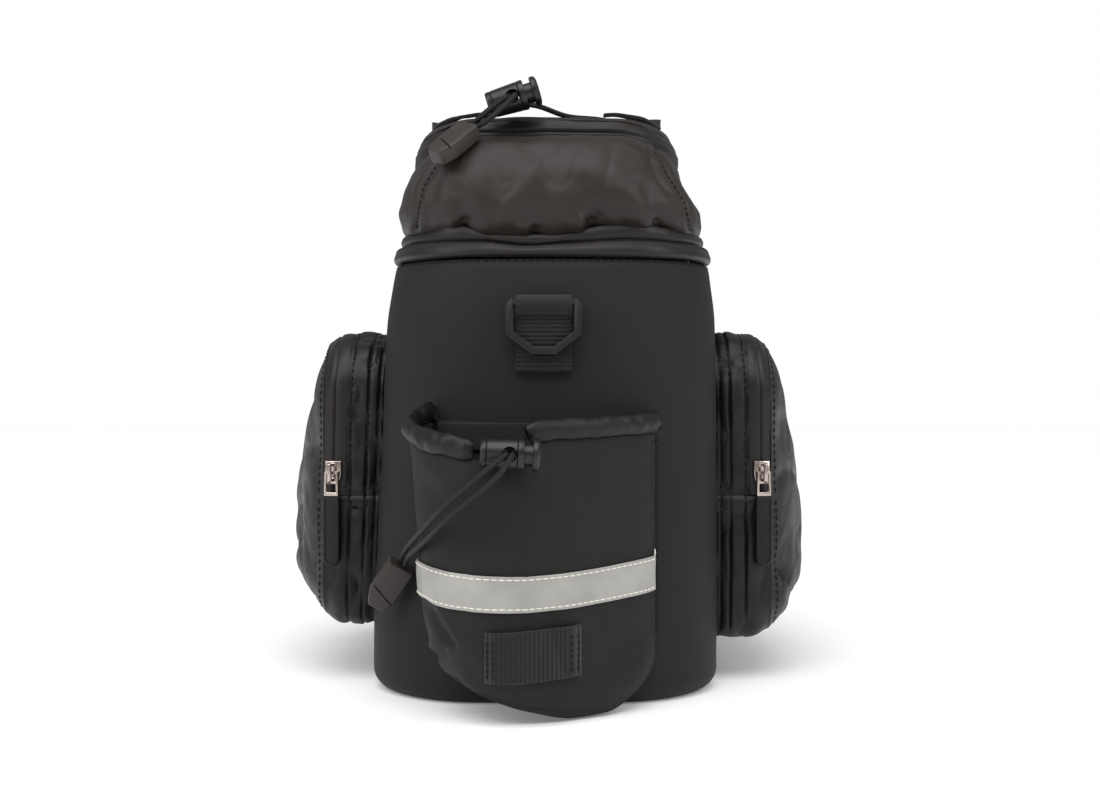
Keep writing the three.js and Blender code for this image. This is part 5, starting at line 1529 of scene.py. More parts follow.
@dataclass
class SidePocket:
    """A zipped side pocket: crinkled gusset, zip tape, swollen outer panel and the zip's pull."""

    form: BagForm
    side: int  # -1 for the left
    half: float = 88 * MM
    top: float = 166 * MM
    seam: float = 89 * MM
    edge: float = 107 * MM
    swell: float = 23 * MM
    wall: float = 1.6 * MM
    tape: float = 11 * MM  # width of the zip tape
    thread: Stitching = Stitching(2.6 * MM, 1.0 * MM, 0.3 * MM, 0.3 * MM)
    FEET = {-1: 27.5 * MM, 1: 20 * MM}
    SAG_HEIGHTS = (0, 0.2, 0.45, 0.7, 1)
    SAG = {-1: (1.15, 1.08, 0.98, 0.68, 0.4), 1: (1.3, 1.14, 1, 0.76, 0.6)}
    DENTS = ((-0.3, 0.36, 0.65, 0.13), (-0.42, 0.66, 0.5, 0.09), (0.05, 0.22, 0.95, 0.1))
    SEWN = (0.07, 0.24, 0.53)  # rows of stitches across the gusset, as shares of its width
    SHRINK = Track((0, 0.35, 0.66, 1), (0, -1.59 * MM, -0.99 * MM, 3 * MM))

    def __post_init__(self) -> None:
        """Sets what depends on the side and on the tub's wall."""
        self.name = "left" if self.side < 0 else "right"
        self.foot = self.FEET[self.side]
        self.tape_from = 1 - self.tape / (self.edge - float(self.form.side_face(self.seam, 1)))

    def run(self, over: bool, shrink: float, count: int) -> np.ndarray:
        """Half of the edge: over the top from the rear seam, or under the base from the front seam.

        Args:
            over: Whether it runs over the top.
            shrink: How far inside the pocket's edge it lies.
            count: How many points it has.

        Returns:
            Its places along and up.
        """
        way = -1 if over else 1
        far = self.top - shrink if over else self.foot + shrink
        radius, steps = (30 * MM, 30) if over else (15 * MM, 24)
        y, start_z = self.half - shrink, self.seam + (0.3 * MM if over else 0)
        turn = np.linspace(0, QUARTER, steps)
        arc = np.stack([y - radius + radius * np.cos(turn), far + way * (radius - radius * np.sin(turn))],
                       axis=1)
        start = np.array([[way * y, start_z]])
        return resampled(np.vstack([start, arc * [way, 1], arc[::-1] * [-way, 1], start * [-1, 1]]), count)

    def band(self, over: bool, outs: np.ndarray) -> np.ndarray:
        """Half of the gusset, from the tub out to the panel.

        Args:
            over: Whether it runs over the top.
            outs: Each row's share of the way out.

        Returns:
            Rows of points.
        """
        rows = []
        for out in outs:
            line = self.run(over, float(self.SHRINK(out)), 190 if over else 140)
            root = self.form.side_face(line[:, 1], self.side) + self.side * SEAT_GAP
            x = mix(root, self.side * self.edge, out)
            rows.append(np.column_stack([x, line]))
        grid = np.array(rows)
        return grid[:, ::-1] if self.side > 0 else grid

    def crinkled(self, grid: np.ndarray, outs: np.ndarray, strength: float) -> np.ndarray:
        """Crinkles the gusset and sinks its rows of stitches, with its edges left in place.

        Args:
            grid: The smooth gusset.
            outs: Each row's share of the way out.
            strength: How strong the crinkles are.

        Returns:
            The crinkled rows.
        """
        lift = (folds_at(grid, 14 * MM, (1.8, 1, 1), 3.0 + self.side) - 0.6) * 2.4 * MM
        lift = lift + noise_at(grid, 26 * MM, 2, 6.0) * 1.6 * MM + noise_at(grid, 4 * MM, 1, 2.0) * 0.22 * MM
        sunk = sum(np.exp(-(((outs - at) / 0.025) ** 2)) for at in self.SEWN)[:, None]
        tuck = np.exp(-(((grid[..., 1] + self.half - 1 * MM) / (4 * MM)) ** 2
                        + ((grid[..., 2] - 163 * MM) / (3.4 * MM)) ** 2))
        edge = np.sin(np.clip((outs - outs[0]) / (outs[-1] - outs[0]), 0, 1) * math.pi)[:, None] ** 0.4
        lift = (lift * strength * (1 - 0.6 * sunk) - 0.75 * MM * sunk - tuck * 4 * MM) * edge
        return grid + grid_normals(grid, False) * lift[..., None]

    def sew(self, name: str, grid: np.ndarray, outs: np.ndarray, rows: Sequence[float]) -> None:
        """Adds rows of stitches along the gusset.

        Args:
            name: The piece's name.
            grid: The gusset.
            outs: Each row's share of the way out.
            rows: The shares that are sewn.
        """
        normal = grid_normals(grid, False)
        sewn = [int(np.argmin(np.abs(outs - at))) for at in rows]
        stitched(name, DARK_THREAD, Slot.POCKET,
                 *((self.thread, grid[k] + normal[k] * 0.1 * MM, normal[k]) for k in sewn))

    def build_gusset(self) -> None:
        """Makes the gusset's two halves, the hem between them and the zip tape."""
        gap = 0.008
        node = f"{self.name}_pocket"
        outs = np.linspace(0, self.tape_from - gap, 34)
        upper = self.crinkled(self.band(True, outs), outs, 1.0)
        sheet(f"{self.name}_upper_gusset_cloth", upper, self.wall, POCKET_CLOTH, f"{node}_gusset_upper")
        self.sew(f"{self.name}_gusset_stitches", upper, outs, self.SEWN)
        outs = np.linspace(self.tape_from + gap, 1, 26)
        tape = self.band(True, outs)
        share = (outs - outs[0]) / (outs[-1] - outs[0])
        bulge = 0.9 * MM * np.sin(share * math.pi) - 1.1 * MM * np.exp(-(((share - 0.52) / 0.05) ** 2))
        bulge = bulge[:, None] + noise_at(tape, 16 * MM, 2, 4.0) * 0.35 * MM
        tape = tape + grid_normals(tape, False) * bulge[..., None]
        sheet(f"{self.name}_zip_laminate", tape, self.wall, ZIP_CLOTH, f"{node}_zip_tape")
        outs = np.linspace(0, 1, 56)
        lower = self.crinkled(self.band(False, outs), outs, 0.9)
        hem = 1.3 * MM * np.exp(-(((lower[..., 2] - self.seam + 3.6 * MM) / (2.6 * MM)) ** 4))
        lower = lower + grid_normals(lower, False) * hem[..., None]
        sheet(f"{self.name}_lower_gusset_cloth", lower, self.wall, POCKET_CLOTH, f"{node}_gusset_lower")
        self.sew(f"{self.name}_lower_stitches", lower, outs, self.SEWN[:1])

    def build_panel(self) -> None:
        """Makes the outer panel, fuller at its foot, with dents and crumples."""
        shrink = float(self.SHRINK(1))
        loop = np.vstack([self.run(True, shrink, 120), self.run(False, shrink, 90)[1:-1]])
        height, middle = self.top - self.foot, (self.top + self.foot) / 2
        sag = Track(self.SAG_HEIGHTS, self.SAG[self.side])
        rows = []
        for scale in np.concatenate([np.linspace(1, 0.9, 9), np.linspace(0.88, 0.02, 36)]):
            y, z = loop[:, 0] * scale, middle + (loop[:, 1] - middle) * scale
            swell = self.swell * sag((z - self.foot) / height)
            dent = sum(depth * np.exp(-((np.hypot(y - along * 2 * self.half, z - (self.foot + up * height))
                                         / (reach * self.swell)) ** 2))
                       for along, up, reach, depth in self.DENTS)
            lift = swell * (1 - scale**3) - self.swell * dent * (1 - scale**4)
            rows.append(np.column_stack([self.side * (self.edge + 0.3 * MM + lift), y, z]))
        outer = np.array(rows)
        calm = rise(np.arange(len(rows)), 0, 7)[:, None]
        crumple = (folds_at(outer, 34 * MM, (1, 1.3, 0.9), 7.0 + self.side) - 0.6) * 4.2 * MM
        crumple = crumple + (folds_at(outer, 12 * MM, (1, 1.3, 1), 5.0) - 0.6) * 1.1 * MM
        foot = rise(-outer[..., 2], -95 * MM, -40 * MM)
        x_away = np.array([self.side, 0.0, 0.0])
        outer = outer + x_away * (crumple * calm * (0.5 + 0.7 * foot))[..., None]
        inner = outer[::2] - x_away * self.wall
        inner[0] = outer[0] * [1, 1 - self.wall / self.half, 1]
        inner[0, :, 2] = middle + (outer[0, :, 2] - middle) * (1 - self.wall / (height / 2))
        shell(f"{self.name}_panel_cloth", np.concatenate([inner[::-1], outer]), POCKET_CLOTH,
              f"{self.name}_pocket_outer_panel")
        line = closed_line(outer[3])
        stitched(f"{self.name}_panel_stitches", DARK_THREAD, Slot.POCKET,
                 (self.thread, line, line * 0 + x_away))

    def build_pull(self) -> None:
        """Makes the slider, its link and the rubber tab with its rim."""
        swings = f"{self.name}_pull"
        for part, made, edge, finish, body in (("slider", "slider_casting", 0.45, NICKEL, BAG),
                                               ("pull_link", "link_casting", 0.5, NICKEL, swings),
                                               ("pull_tab", "tab_moulding", 0.6, RUBBER, swings)):
            node = f"{self.name}_pocket_{part}"
            tab = dressed(eased(node, f"{self.name}_{made}", edge * MM), finish, node, body=body)
        low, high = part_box(node)
        margin = 0.9 * MM
        middle, half = (low.x + high.x) / 2, (high.x - low.x) / 2 - margin
        turn = np.linspace(math.pi, 2 * math.pi, 20)
        arc = np.column_stack([middle + half * np.cos(turn), low.z + half + margin + half * np.sin(turn)])
        ends = [[[middle + way * half, high.z - 1 * MM]] for way in (-1, 1)]
        outline = resampled(np.vstack([ends[0], arc, ends[1]]), 70)
        rim = landed(tree_of(tab), behind(outline[:, 0], outline[:, 1]), AHEAD, 0.05 * MM)
        shell(f"{self.name}_tab_rim", swept(rim, 0.35 * MM, 0.45 * MM, 8, AHEAD), RUBBER, body=swings)

    def build(self) -> None:
        """Makes the whole pocket."""
        self.build_gusset()
        self.build_panel()
        self.build_pull()


@dataclass
class BottlePocket:
    """The open pocket on the rear panel, with its hem, stripe, webbing loop and mouth band."""

    form: BagForm
    right: float = 48 * MM
    half: float = 53 * MM
    depth: float = 54 * MM
    base: float = 1 * MM
    rim: float = 125 * MM
    wall: float = 1.6 * MM
    count: int = 132  # points round the front
    stripe_wall: float = 0.8 * MM
    band_wall: float = 1 * MM
    loop_wall: float = 1.3 * MM
    loop_size: tuple[float, float] = (40 * MM, 20 * MM)
    loop_centre: tuple[float, float] = (-5.5 * MM, 30 * MM)
    loop_slope: float = 1.5 * MM  # how much higher its right end is
    PLAN = {key: Track(range(16), values) for key, values in {
        "across": (1, 0.98, 0.88, 0.7, 0.46, 0.22, -0.05, -0.13, -0.26, -0.46, -0.66, -0.84, -0.95, -1,
                   -0.95, -0.84),
        "out": (0, 0.12, 0.28, 0.45, 0.64, 0.8, 0.93, 0.96, 1, 1, 0.91, 0.74, 0.54, 0.34, 0.15, 0),
        "rim": (0.965, 0.96, 0.955, 0.95, 0.945, 0.94, 0.925, 0.875, 0.875, 0.875, 0.89, 0.9, 0.925, 0.945,
                0.975, 1),
    }.items()}
    FOOT = Track((-1, -0.8, -0.57, -0.2, 0.2, 0.5, 0.85, 1), (0.14, 0.115, 0.075, 0.03, 0, 0.005, 0.08, 0.16))
    STRIPE_AT, STRIPE_HALF = 0.457, 7.1 / 125  # its middle and half its height, as shares of the rim's
    HEIGHTS = (0, 0.05, 0.15, 0.28, STRIPE_AT - STRIPE_HALF, STRIPE_AT + STRIPE_HALF, 0.8, 1)
    WIDTHS = Track(HEIGHTS, (0.86, 0.9, 0.92, 0.95, 0.965, 0.975, 0.99, 1.01))
    DEPTHS = Track(HEIGHTS, (0.8, 0.92, 1, 1.02, 1.01, 1, 0.98, 0.96))
    STRIPE_LOW = (51.8, 51.2, 48.9, 48.0, 47.6, 48.2, 49.3, 50.6, 52.0)
    STRIPE_HIGH = (66.4, 65.4, 63.4, 62.2, 61.6, 62.2, 63.4, 64.9, 66.4)
    CREASES = (
        Crease((-52, 50), (-40, 33), 2.8, 2.2),
        Crease((-48.5, 23), (-40, 34), 2.4, 2.1),
        Crease((-37.5, 17), (-30, 11), 2.2, 1.9),
        Crease((-52, 100), (-36, 88), 5, 1.3),
        Crease((42, 36), (22, 20), 6, 1.3),
        Crease((-18, 92), (-32, 70), 7, 1.2),
    )

    def x_at(self, across: Any, width: Any) -> Any:
        """X of a place across."""
        return self.right - (1 - across) * self.half * width

    def section(self, share: float, at: np.ndarray) -> np.ndarray:
        """Points along the front at a share of the height, right edge first.

        Args:
            share: The share of the height.
            at: Places along the plan, as row numbers.

        Returns:
            The points.
        """
        across, out, rim = (track(at) for track in self.PLAN.values())
        fade = max(0.0, 1 - share / 0.4)
        z = mix(self.base, self.rim * rim, share) + self.rim * self.FOOT(across) * fade
        x = self.x_at(across, float(self.WIDTHS(share)))
        wall_z = np.maximum(z, 9 * MM)
        seat = mix(self.form.rear_face(x, wall_z), self.form.rear_face(self.right, wall_z),
                   rise(out, 0, 0.12))
        y = seat - SEAT_GAP - out * self.depth * float(self.DEPTHS(share))
        return np.column_stack([x, y, z])

    def places(self, count: int, first: float = 0, last: float = 15) -> np.ndarray:
        """Places at even distances along the rim.

        Args:
            count: How many.
            first: Row number of the plan at which they start.
            last: Row number at which they end.

        Returns:
            Their row numbers.
        """
        fine = np.linspace(first, last, 400)
        run = lengths_along(self.section(1.0, fine))
        return np.interp(np.linspace(0, run[-1], count), run, fine)

    def back(self, share: float, front: np.ndarray, count: int) -> np.ndarray:
        """Points along the rear panel, from the front's left edge to its right edge.

        Args:
            share: Their share of the height.
            front: The front's points there.
            count: How many are wanted.

        Returns:
            The points.
        """
        s = np.linspace(0, 1, count + 2)[1:-1]
        x = mix(front[-1][0], front[0][0], s)
        z = mix(front[-1][2], front[0][2], s)
        foot = self.rim * float(np.max([0.0, 1 - share / 0.4])) * (
            self.FOOT((x - self.right) / self.half / float(self.WIDTHS(share)) + 1)
            - mix(float(self.FOOT(-0.84)), float(self.FOOT(1)), s))
        z = z + foot
        return np.column_stack([x, self.form.rear_face(x, np.maximum(z, 9 * MM)) - SEAT_GAP, z])

    def cloth_rows(self) -> np.ndarray:
        """Lays out the outside.

        Returns:
            Rows of points, the front's last, which run to the right.
        """
        at = self.places(self.count)
        shares = np.concatenate([np.linspace(0, 0.08, 8)[:-1], np.linspace(0.08, 1, 68)])
        rows = []
        for share in shares:
            front = self.section(float(share), at)
            rows.append(np.vstack([front, self.back(float(share), front, 26)])[::-1])
        return np.array(rows)

    def build_cloth(self) -> bpy.types.Object:
        """Makes the pocket itself.

        Returns:
            The piece.
        """
        outer = self.cloth_rows()
        closed = grid_normals(outer, True)
        x, y, z = outer[..., 0], outer[..., 1], outer[..., 2]
        front = np.concatenate([np.zeros(26), np.ones(self.count)])[None, :]
        out = rise(self.form.rear_face(x, np.maximum(z, 9 * MM)) - y, 3 * MM, 14 * MM) * front
        stripe = np.exp(-(((z - 57 * MM) / (9 * MM)) ** 4))
        folds = (folds_at(outer, 30 * MM, (1, 1, 1.5), 1.0) - 0.6) * 1.0 * MM
        lumps = noise_at(outer, 45 * MM, 2, 3.0) * 1.1 * MM + noise_at(outer, 9 * MM, 2, 4.0) * 0.22 * MM
        gathers = noise_at(outer, 6 * MM, 1, 5.0) * 0.5 * MM * rise(z, 96 * MM, 114 * MM) * (x < -25 * MM)
        lift = (creased(self.CREASES, x, z) + folds + lumps + gathers) * out * (1 - 0.75 * stripe)
        row = np.arange(len(outer))
        calm = rise(row, 0, 5) * (1 - 0.7 * rise(row, len(outer) - 5, len(outer)))
        outer = outer + closed * (lift * calm[:, None])[..., None]
        inner = (outer - closed * self.wall)[4:]
        inner[0, :, 2] = outer[0, :, 2] + self.wall
        lip = [(outer[-1] + inner[-1]) / 2 + (closed[-1] * math.cos(t) + UP * math.sin(t)) * self.wall / 2
               for t in np.linspace(0, math.pi, 5)[1:-1]]
        grid = np.concatenate([outer, np.array(lip), inner[::-1]])
        return shell("bottle_pocket_cloth", grid, BODY_CLOTH, "bottle_pocket")

    def band_rows(self, low: Sequence[float], high: Sequence[float], rows: int, first: float, last: float,
                  columns: int, above: Any) -> np.ndarray:
        """A grid laid on the pocket's front.

        Args:
            low: Height of its lower edge at even places along it.
            high: Height of its upper edge.
            rows: Rows.
            first: Where it starts along the plan.
            last: Where it ends.
            columns: Columns.
            above: How far off the cloth it lies.

        Returns:
            The grid, columns to the right.
        """
        at = self.places(columns, first, last)[::-1]
        s = np.linspace(0, 1, columns)
        lows, highs = (np.interp(s, np.linspace(0, 1, len(v)), v) * MM for v in (low, high))
        levels = np.linspace(0.1, 1, 60)
        front = np.array([self.section(float(level), at) for level in levels])
        grid = np.empty((rows, columns, 3))
        for i in range(rows):
            z = mix(lows, highs, i / (rows - 1))
            for j in range(columns):
                share = np.interp(z[j], front[:, j, 2], levels)
                grid[i, j] = [np.interp(share, levels, front[:, j, k]) for k in range(3)]
        normal = grid_normals(grid, False)
        start = grid + normal * 12 * MM
        moved = np.empty_like(grid)
        for i in range(rows):
            for j in range(columns):
                hit = self.tree.ray_cast(Vector(start[i, j]), Vector(-normal[i, j]))
                moved[i, j] = np.array(hit[0]) if hit[0] else grid[i, j]
        return moved + normal * above

    def build_stripe(self) -> None:
        """Makes the reflective tape and the pale stitches along both its edges."""
        grid = self.band_rows(self.STRIPE_LOW, self.STRIPE_HIGH, 15, 1.2, 13.3, 150,
                              0.35 * MM + self.stripe_wall)
        x = grid[..., 0]
        fold = np.exp(-(((x + 33.5 * MM) / (1.6 * MM)) ** 2)) * -0.7 * MM
        fold = fold + noise_at(grid, 12 * MM, 2, 8.0) * 0.25 * MM
        grid = grid + grid_normals(grid, False) * fold[..., None]
        sheet("reflective_tape_beaded", grid, self.stripe_wall, REFLECTIVE, "reflective_stripe")
        normal = grid_normals(grid, False)
        edges = [(Stitching(2.5 * MM, 0.7 * MM, 0.33 * MM, 0.25 * MM), grid[k], normal[k]) for k in (1, -2)]
        up = np.linspace(0, 7, 8)[:, None] * MM * UP
        end = (Stitching(3.0 * MM, 0.6 * MM, 0.34 * MM), grid[-1, -2] + up, up * 0 + normal[-1, -2])
        stitched("stripe_stitches", PALE_THREAD, Slot.REFLECTIVE, *edges, end)

    def build_casings(self) -> None:
        """Makes the hem's two cord tubes, gathered on their cord."""
        for name, first, last in (("right", 0, 6), ("left", 9, 15)):
            at = self.places(90, first, last)
            path = self.section(1.0, at)
            path[:, 2] += 5 * MM
            clear = self.form.rear_face(path[:, 0], path[:, 2]) - SEAT_GAP - 3 * MM
            path[:, 1] = np.minimum(path[:, 1], clear)
            tangent = unit(np.gradient(path, axis=0))
            outward = unit(np.column_stack([tangent[:, 1], -tangent[:, 0], tangent[:, 0] * 0]))
            tube = swept(path, 3 * MM, 4.7 * MM, 24, outward)
            gather = noise_at(tube * [1, 1, 0.4], 4.5 * MM, 1, 3.0) * 0.55 * MM
            gather = gather + noise_at(tube, 14 * MM, 2, 5.0) * 0.5 * MM
            middle = path[:, None]
            away = unit(tube - middle)
            seam = np.exp(-(((tube[..., 2] - middle[..., 2] + 2.9 * MM) / (0.55 * MM)) ** 2)) * 0.45 * MM
            strong = 1.0 if name == "left" else 0.6
            tube = tube + away * (gather * strong * 1.4 - seam)[..., None]
            drawn = 1 - 0.38 * np.exp(-(np.arange(90) / 2.2))
            drawn = drawn if name == "left" else drawn[::-1]
            tube = middle + (tube - middle) * drawn[:, None, None]
            shell(f"casing_{name}_cloth", tube, POCKET_CLOTH, f"bottle_casing_{name}")
            line = path + outward * 2.35 * MM - UP * 2.9 * MM
            stitched(f"casing_{name}_stitches", DARK_THREAD, Slot.POCKET,
                     (Stitching(2.3 * MM, 1.0 * MM, 0.28 * MM), line, outward))

    def build_band(self) -> None:
        """Makes the woven band inside the mouth."""
        left, right = self.x_at(-0.82, 1.0), self.x_at(0.02, 1.0)
        x = np.linspace(left, right, 60)
        rows = []
        for z in np.linspace(self.rim - 12 * MM, self.rim - 1 * MM, 14):
            y = self.form.rear_face(x, z) - 2 * SEAT_GAP - self.wall - 1 * MM
            rows.append(np.column_stack([x, y, x * 0 + z]))
        sheet("mouth_band_weave", np.array(rows), self.band_wall, WEBBING, "bottle_mouth_band")

    def build_loop(self) -> None:
        """Makes the ribbed webbing loop for a light, sewn flat at both ends."""
        (wide, high), (x, z) = self.loop_size, self.loop_centre
        u = np.linspace(-0.5, 0.5, 160)
        v = np.linspace(-0.5, 0.5, 16)
        grid = np.array([[(x + a * wide, -0.4, z + b * high + a * self.loop_slope) for a in u] for b in v])
        rise_off = 2.6 * MM * rise(np.abs(u), 0.5, 0.36)
        ends = 0.5 * MM * (np.abs(np.abs(u) - 0.44) < 0.045)
        ribs = 0.4 * MM * np.abs(np.sin(u * math.pi * 22)) ** 1.5
        grid = landed(self.tree, grid, AHEAD, (SEAT_GAP + 1.5 * MM + rise_off + ribs + ends)[None, :])
        sheet("light_loop_webbing", grid, self.loop_wall, WEBBING, "light_loop")
        normal = grid_normals(grid, False)
        sewn = [int(share * 159) for share in (0.028, 0.1, 0.9, 0.972)]
        stitched("light_loop_stitches", DARK_THREAD, Slot.WEBBING,
                 *((Stitching(2.0 * MM, 0.7 * MM, 0.34 * MM), grid[1:-1, j], normal[1:-1, j]) for j in sewn))

    def build_seam(self) -> None:
        """Makes the two rows of stitches down the pocket's right edge."""
        runs = []
        shares = np.linspace(0.16, 0.99, 60)
        for place in (0.35, 1.1):
            line, beside = (np.array([self.section(float(s), np.array([at]))[0] for s in shares])
                            for at in (place, place + 0.1))
            facing = unit(np.cross(beside - line, np.gradient(line, axis=0)))
            facing = facing * np.where(facing[:, 1:2] > 0, -1, 1)
            runs.append((Stitching(2.2 * MM, 1.0 * MM, 0.3 * MM), line + facing * 0.9 * MM, facing))
        stitched("bottle_seam_stitches", DARK_THREAD, Slot.BODY, *runs)

    def build(self) -> None:
        """Makes the whole pocket."""
        self.tree = tree_of(self.build_cloth())
        self.build_stripe()
        self.build_casings()
        self.build_band()
        self.build_loop()
        self.build_seam()


@dataclass
class RingTab:
    """The webbing tab on the rear panel and the ring that hangs from it."""

    pitch: float = 1.9 * MM  # from rib to rib
    edge: float = 0.6 * MM

    def build(self) -> None:
        """Makes the ribbed tab and the ring."""
        low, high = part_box("ring_tab")
        tree = tree_of(dressed(eased("ring_tab", "ring_tab_webbing", self.edge), WEBBING, "ring_tab"))
        x = np.linspace(low.x + self.edge, high.x - self.edge, 24)
        cast = Cast()
        for z in np.arange(low.z + 1.2 * MM, high.z - 6.5 * MM, self.pitch):
            hits = landed(tree, behind(x, z), AHEAD, 0.05 * MM)
            cast.grid(swept(hits, 0.55 * MM, 0.75 * MM, 8, AHEAD), loop_columns=True, ends=Ends.ROWS)
        dressed(cast.object("ring_tab_ribs"), WEBBING)
        dressed(eased("d_ring", "d_ring_moulding", 0.9 * MM, steps=4), PLASTIC, "d_ring", body="hung_ring")


def carved(piece: bpy.types.Object, cutter: bpy.types.Object, smooth: float = 30.0) -> bpy.types.Object:
    """Cuts one object out of another.

    Args:
        piece: The piece that is cut.
        cutter: What is taken out, which is used up.
        smooth: Angle in degrees past which an edge is shown sharp.

    Returns:
        The cut piece.
    """
    cut = piece.modifiers.new("cut", "BOOLEAN")
    cut.operation = "DIFFERENCE"
    cut.solver = "EXACT"
    cut.object = cutter
    applied(piece, smooth)
    bpy.data.objects.remove(cutter)
    return piece


def block(name: str, centre: Vector, axes: Matrix, size: Sequence[float]) -> bpy.types.Object:
    """A plain block.

    Args:
        name: Its name.
        centre: Its middle.
        axes: Its three directions, as columns.
        size: Its length along each.

    Returns:
        The block.
    """
    work = bmesh.new()
    place = Matrix.Translation(centre) @ axes.to_4x4() @ Matrix.Diagonal((*size, 1.0))
    bmesh.ops.create_cube(work, size=1.0, matrix=place)
    mesh = bpy.data.meshes.new(name)
    work.to_mesh(mesh)
    work.free()
    return finished(mesh, name, 30.0)


@dataclass(frozen=True)
class CordEnd:
    """A moulded clip on a cord's two ends, with the slit where its two halves meet."""

    name: str
    mouth: tuple[float, float, float]
    along: tuple[float, float, float]
    facing: tuple[float, float, float]

    def build(self) -> bpy.types.Object:
        """Makes the clip.

        Returns:
            The piece.
        """
        down = Vector(self.along).normalized()
        right = Vector(self.facing).cross(-down).normalized()
        front = down.cross(right).normalized()
        axes = Matrix((right, front, down)).transposed()
        clip = eased(self.name, f"{self.name}_moulding", 0.9 * MM, steps=4)
        slant = Matrix.Rotation(math.radians(24), 3, front)
        middle = Vector(self.mouth) * MM + down * 16.5 * MM
        for way in (1, -1):
            slit = block("slit", middle + front * way * 3.6 * MM, slant @ axes, (18 * MM, 2.2 * MM, 0.7 * MM))
            carved(clip, slit)
        return dressed(clip, CLIP_PLASTIC, self.name)


@dataclass(frozen=True)
class CordLock:
    """A barrel lock with a sprung plunger, turned round its axis."""

    name: str
    centre: tuple[float, float, float]
    tilt: float
    half: float = 9.0
    radius: float = 7.0
    end_radius: float = 6.0
    bore: float = 5.0
    hole: float = 3.2
    hole_at: float = 3.0
    travel: float = 3.2

    def turned(self, name: str, profile: Sequence[tuple[float, float]]) -> bpy.types.Object:
        """A turned piece.

        Args:
            name: Its name.
            profile: Radius and place along the axis of each ring, in millimetres.

        Returns:
            The piece, in place.
        """
        turn = np.linspace(0, 2 * math.pi, 56, endpoint=False)
        rings = [np.column_stack([turn * 0 + along, max(r, 0.02) * np.cos(turn), max(r, 0.02) * np.sin(turn)])
                 for r, along in profile]
        grid = np.array(rings) * MM @ np.array(self.axes()).T + np.array(self.centre) * MM
        cast = Cast()
        cast.grid(grid, loop_columns=True, ends=Ends.ROWS)
        return cast.object(name, 35.0)

    def axes(self) -> Matrix:
        """The lock's own directions."""
        return Matrix.Rotation(-self.tilt, 3, "Y")

    def cutter(self, along: float, size: tuple[float, float, float]) -> bpy.types.Object:
        """A block across the lock."""
        centre = Vector(self.centre) * MM + self.axes() @ Vector((along * MM, 0.0, 0.0))
        return block("cutter", centre, self.axes(), [s * MM for s in size])

    def drill(self) -> bpy.types.Object:
        """Makes a round bar through the barrel, where the cord passes.

        Returns:
            The bar.
        """
        work = bmesh.new()
        centre = Vector(self.centre) * MM + self.axes() @ Vector((self.hole_at * MM, 0.0, 0.0))
        place = Matrix.Translation(centre) @ Matrix.Rotation(QUARTER, 4, "X")
        radius = self.hole * MM
        bmesh.ops.create_cone(work, cap_ends=True, segments=32, radius1=radius, radius2=radius,
                              depth=self.radius * 4 * MM, matrix=place)
        mesh = bpy.data.meshes.new("drill")
        work.to_mesh(mesh)
        work.free()
        return finished(mesh, "drill", 30.0)

    def build(self) -> None:
        """Makes the barrel and the plunger."""
        half, radius, small = self.half, self.radius, self.end_radius
        floor = -half + 1.2
        outer = [(0, -half), (small - 1.0, -half), (small - 0.4, -half + 0.15), (small, -half + 0.7)]
        outer += [(small + 0.1, -half + 2.2), (small - 0.2, -half + 2.5), (small + 0.15, -half + 2.8)]
        outer += [(radius - 0.2, half - 3.0), (radius - 0.5, half - 2.7), (radius - 0.1, half - 2.4)]
        outer += [(radius, half - 0.4), (radius - 0.25, half), (self.bore + 0.2, half)]
        barrel = self.turned(f"{self.name}_barrel_moulding",
                             [*outer, (self.bore, half - 0.2), (self.bore, floor), (0, floor)])
        dressed(carved(barrel, self.drill(), 35.0), PLASTIC, f"{self.name}_barrel")
        foot = 1.2 + self.travel + 0.3 - half
        cap = half + self.travel + 0.3
        stem = self.bore - 0.3
        profile = [(0, foot), (stem - 0.3, foot), (stem, foot + 0.3), (stem, cap), (radius - 0.3, cap)]
        profile += [(radius, cap + 0.3), (radius, cap + 1.9), (radius - 0.5, cap + 2.5)]
        profile += [(radius - 1.6, cap + 3.0), (radius - 2.4, cap + 3.0), (radius - 2.7, cap + 2.7)]
        profile += [(0, cap + 2.6)]
        plunger = self.turned(f"{self.name}_plunger_moulding", profile)
        slot = (5.0 + SLOT + self.travel, radius * 4, 2.5 + SLOT)
        carved(plunger, self.cutter(self.hole_at + self.travel / 2, slot), 35.0)
        body = self.name.replace("lock", "plunger")
        dressed(plunger, PLASTIC, f"{self.name}_plunger", body=body)


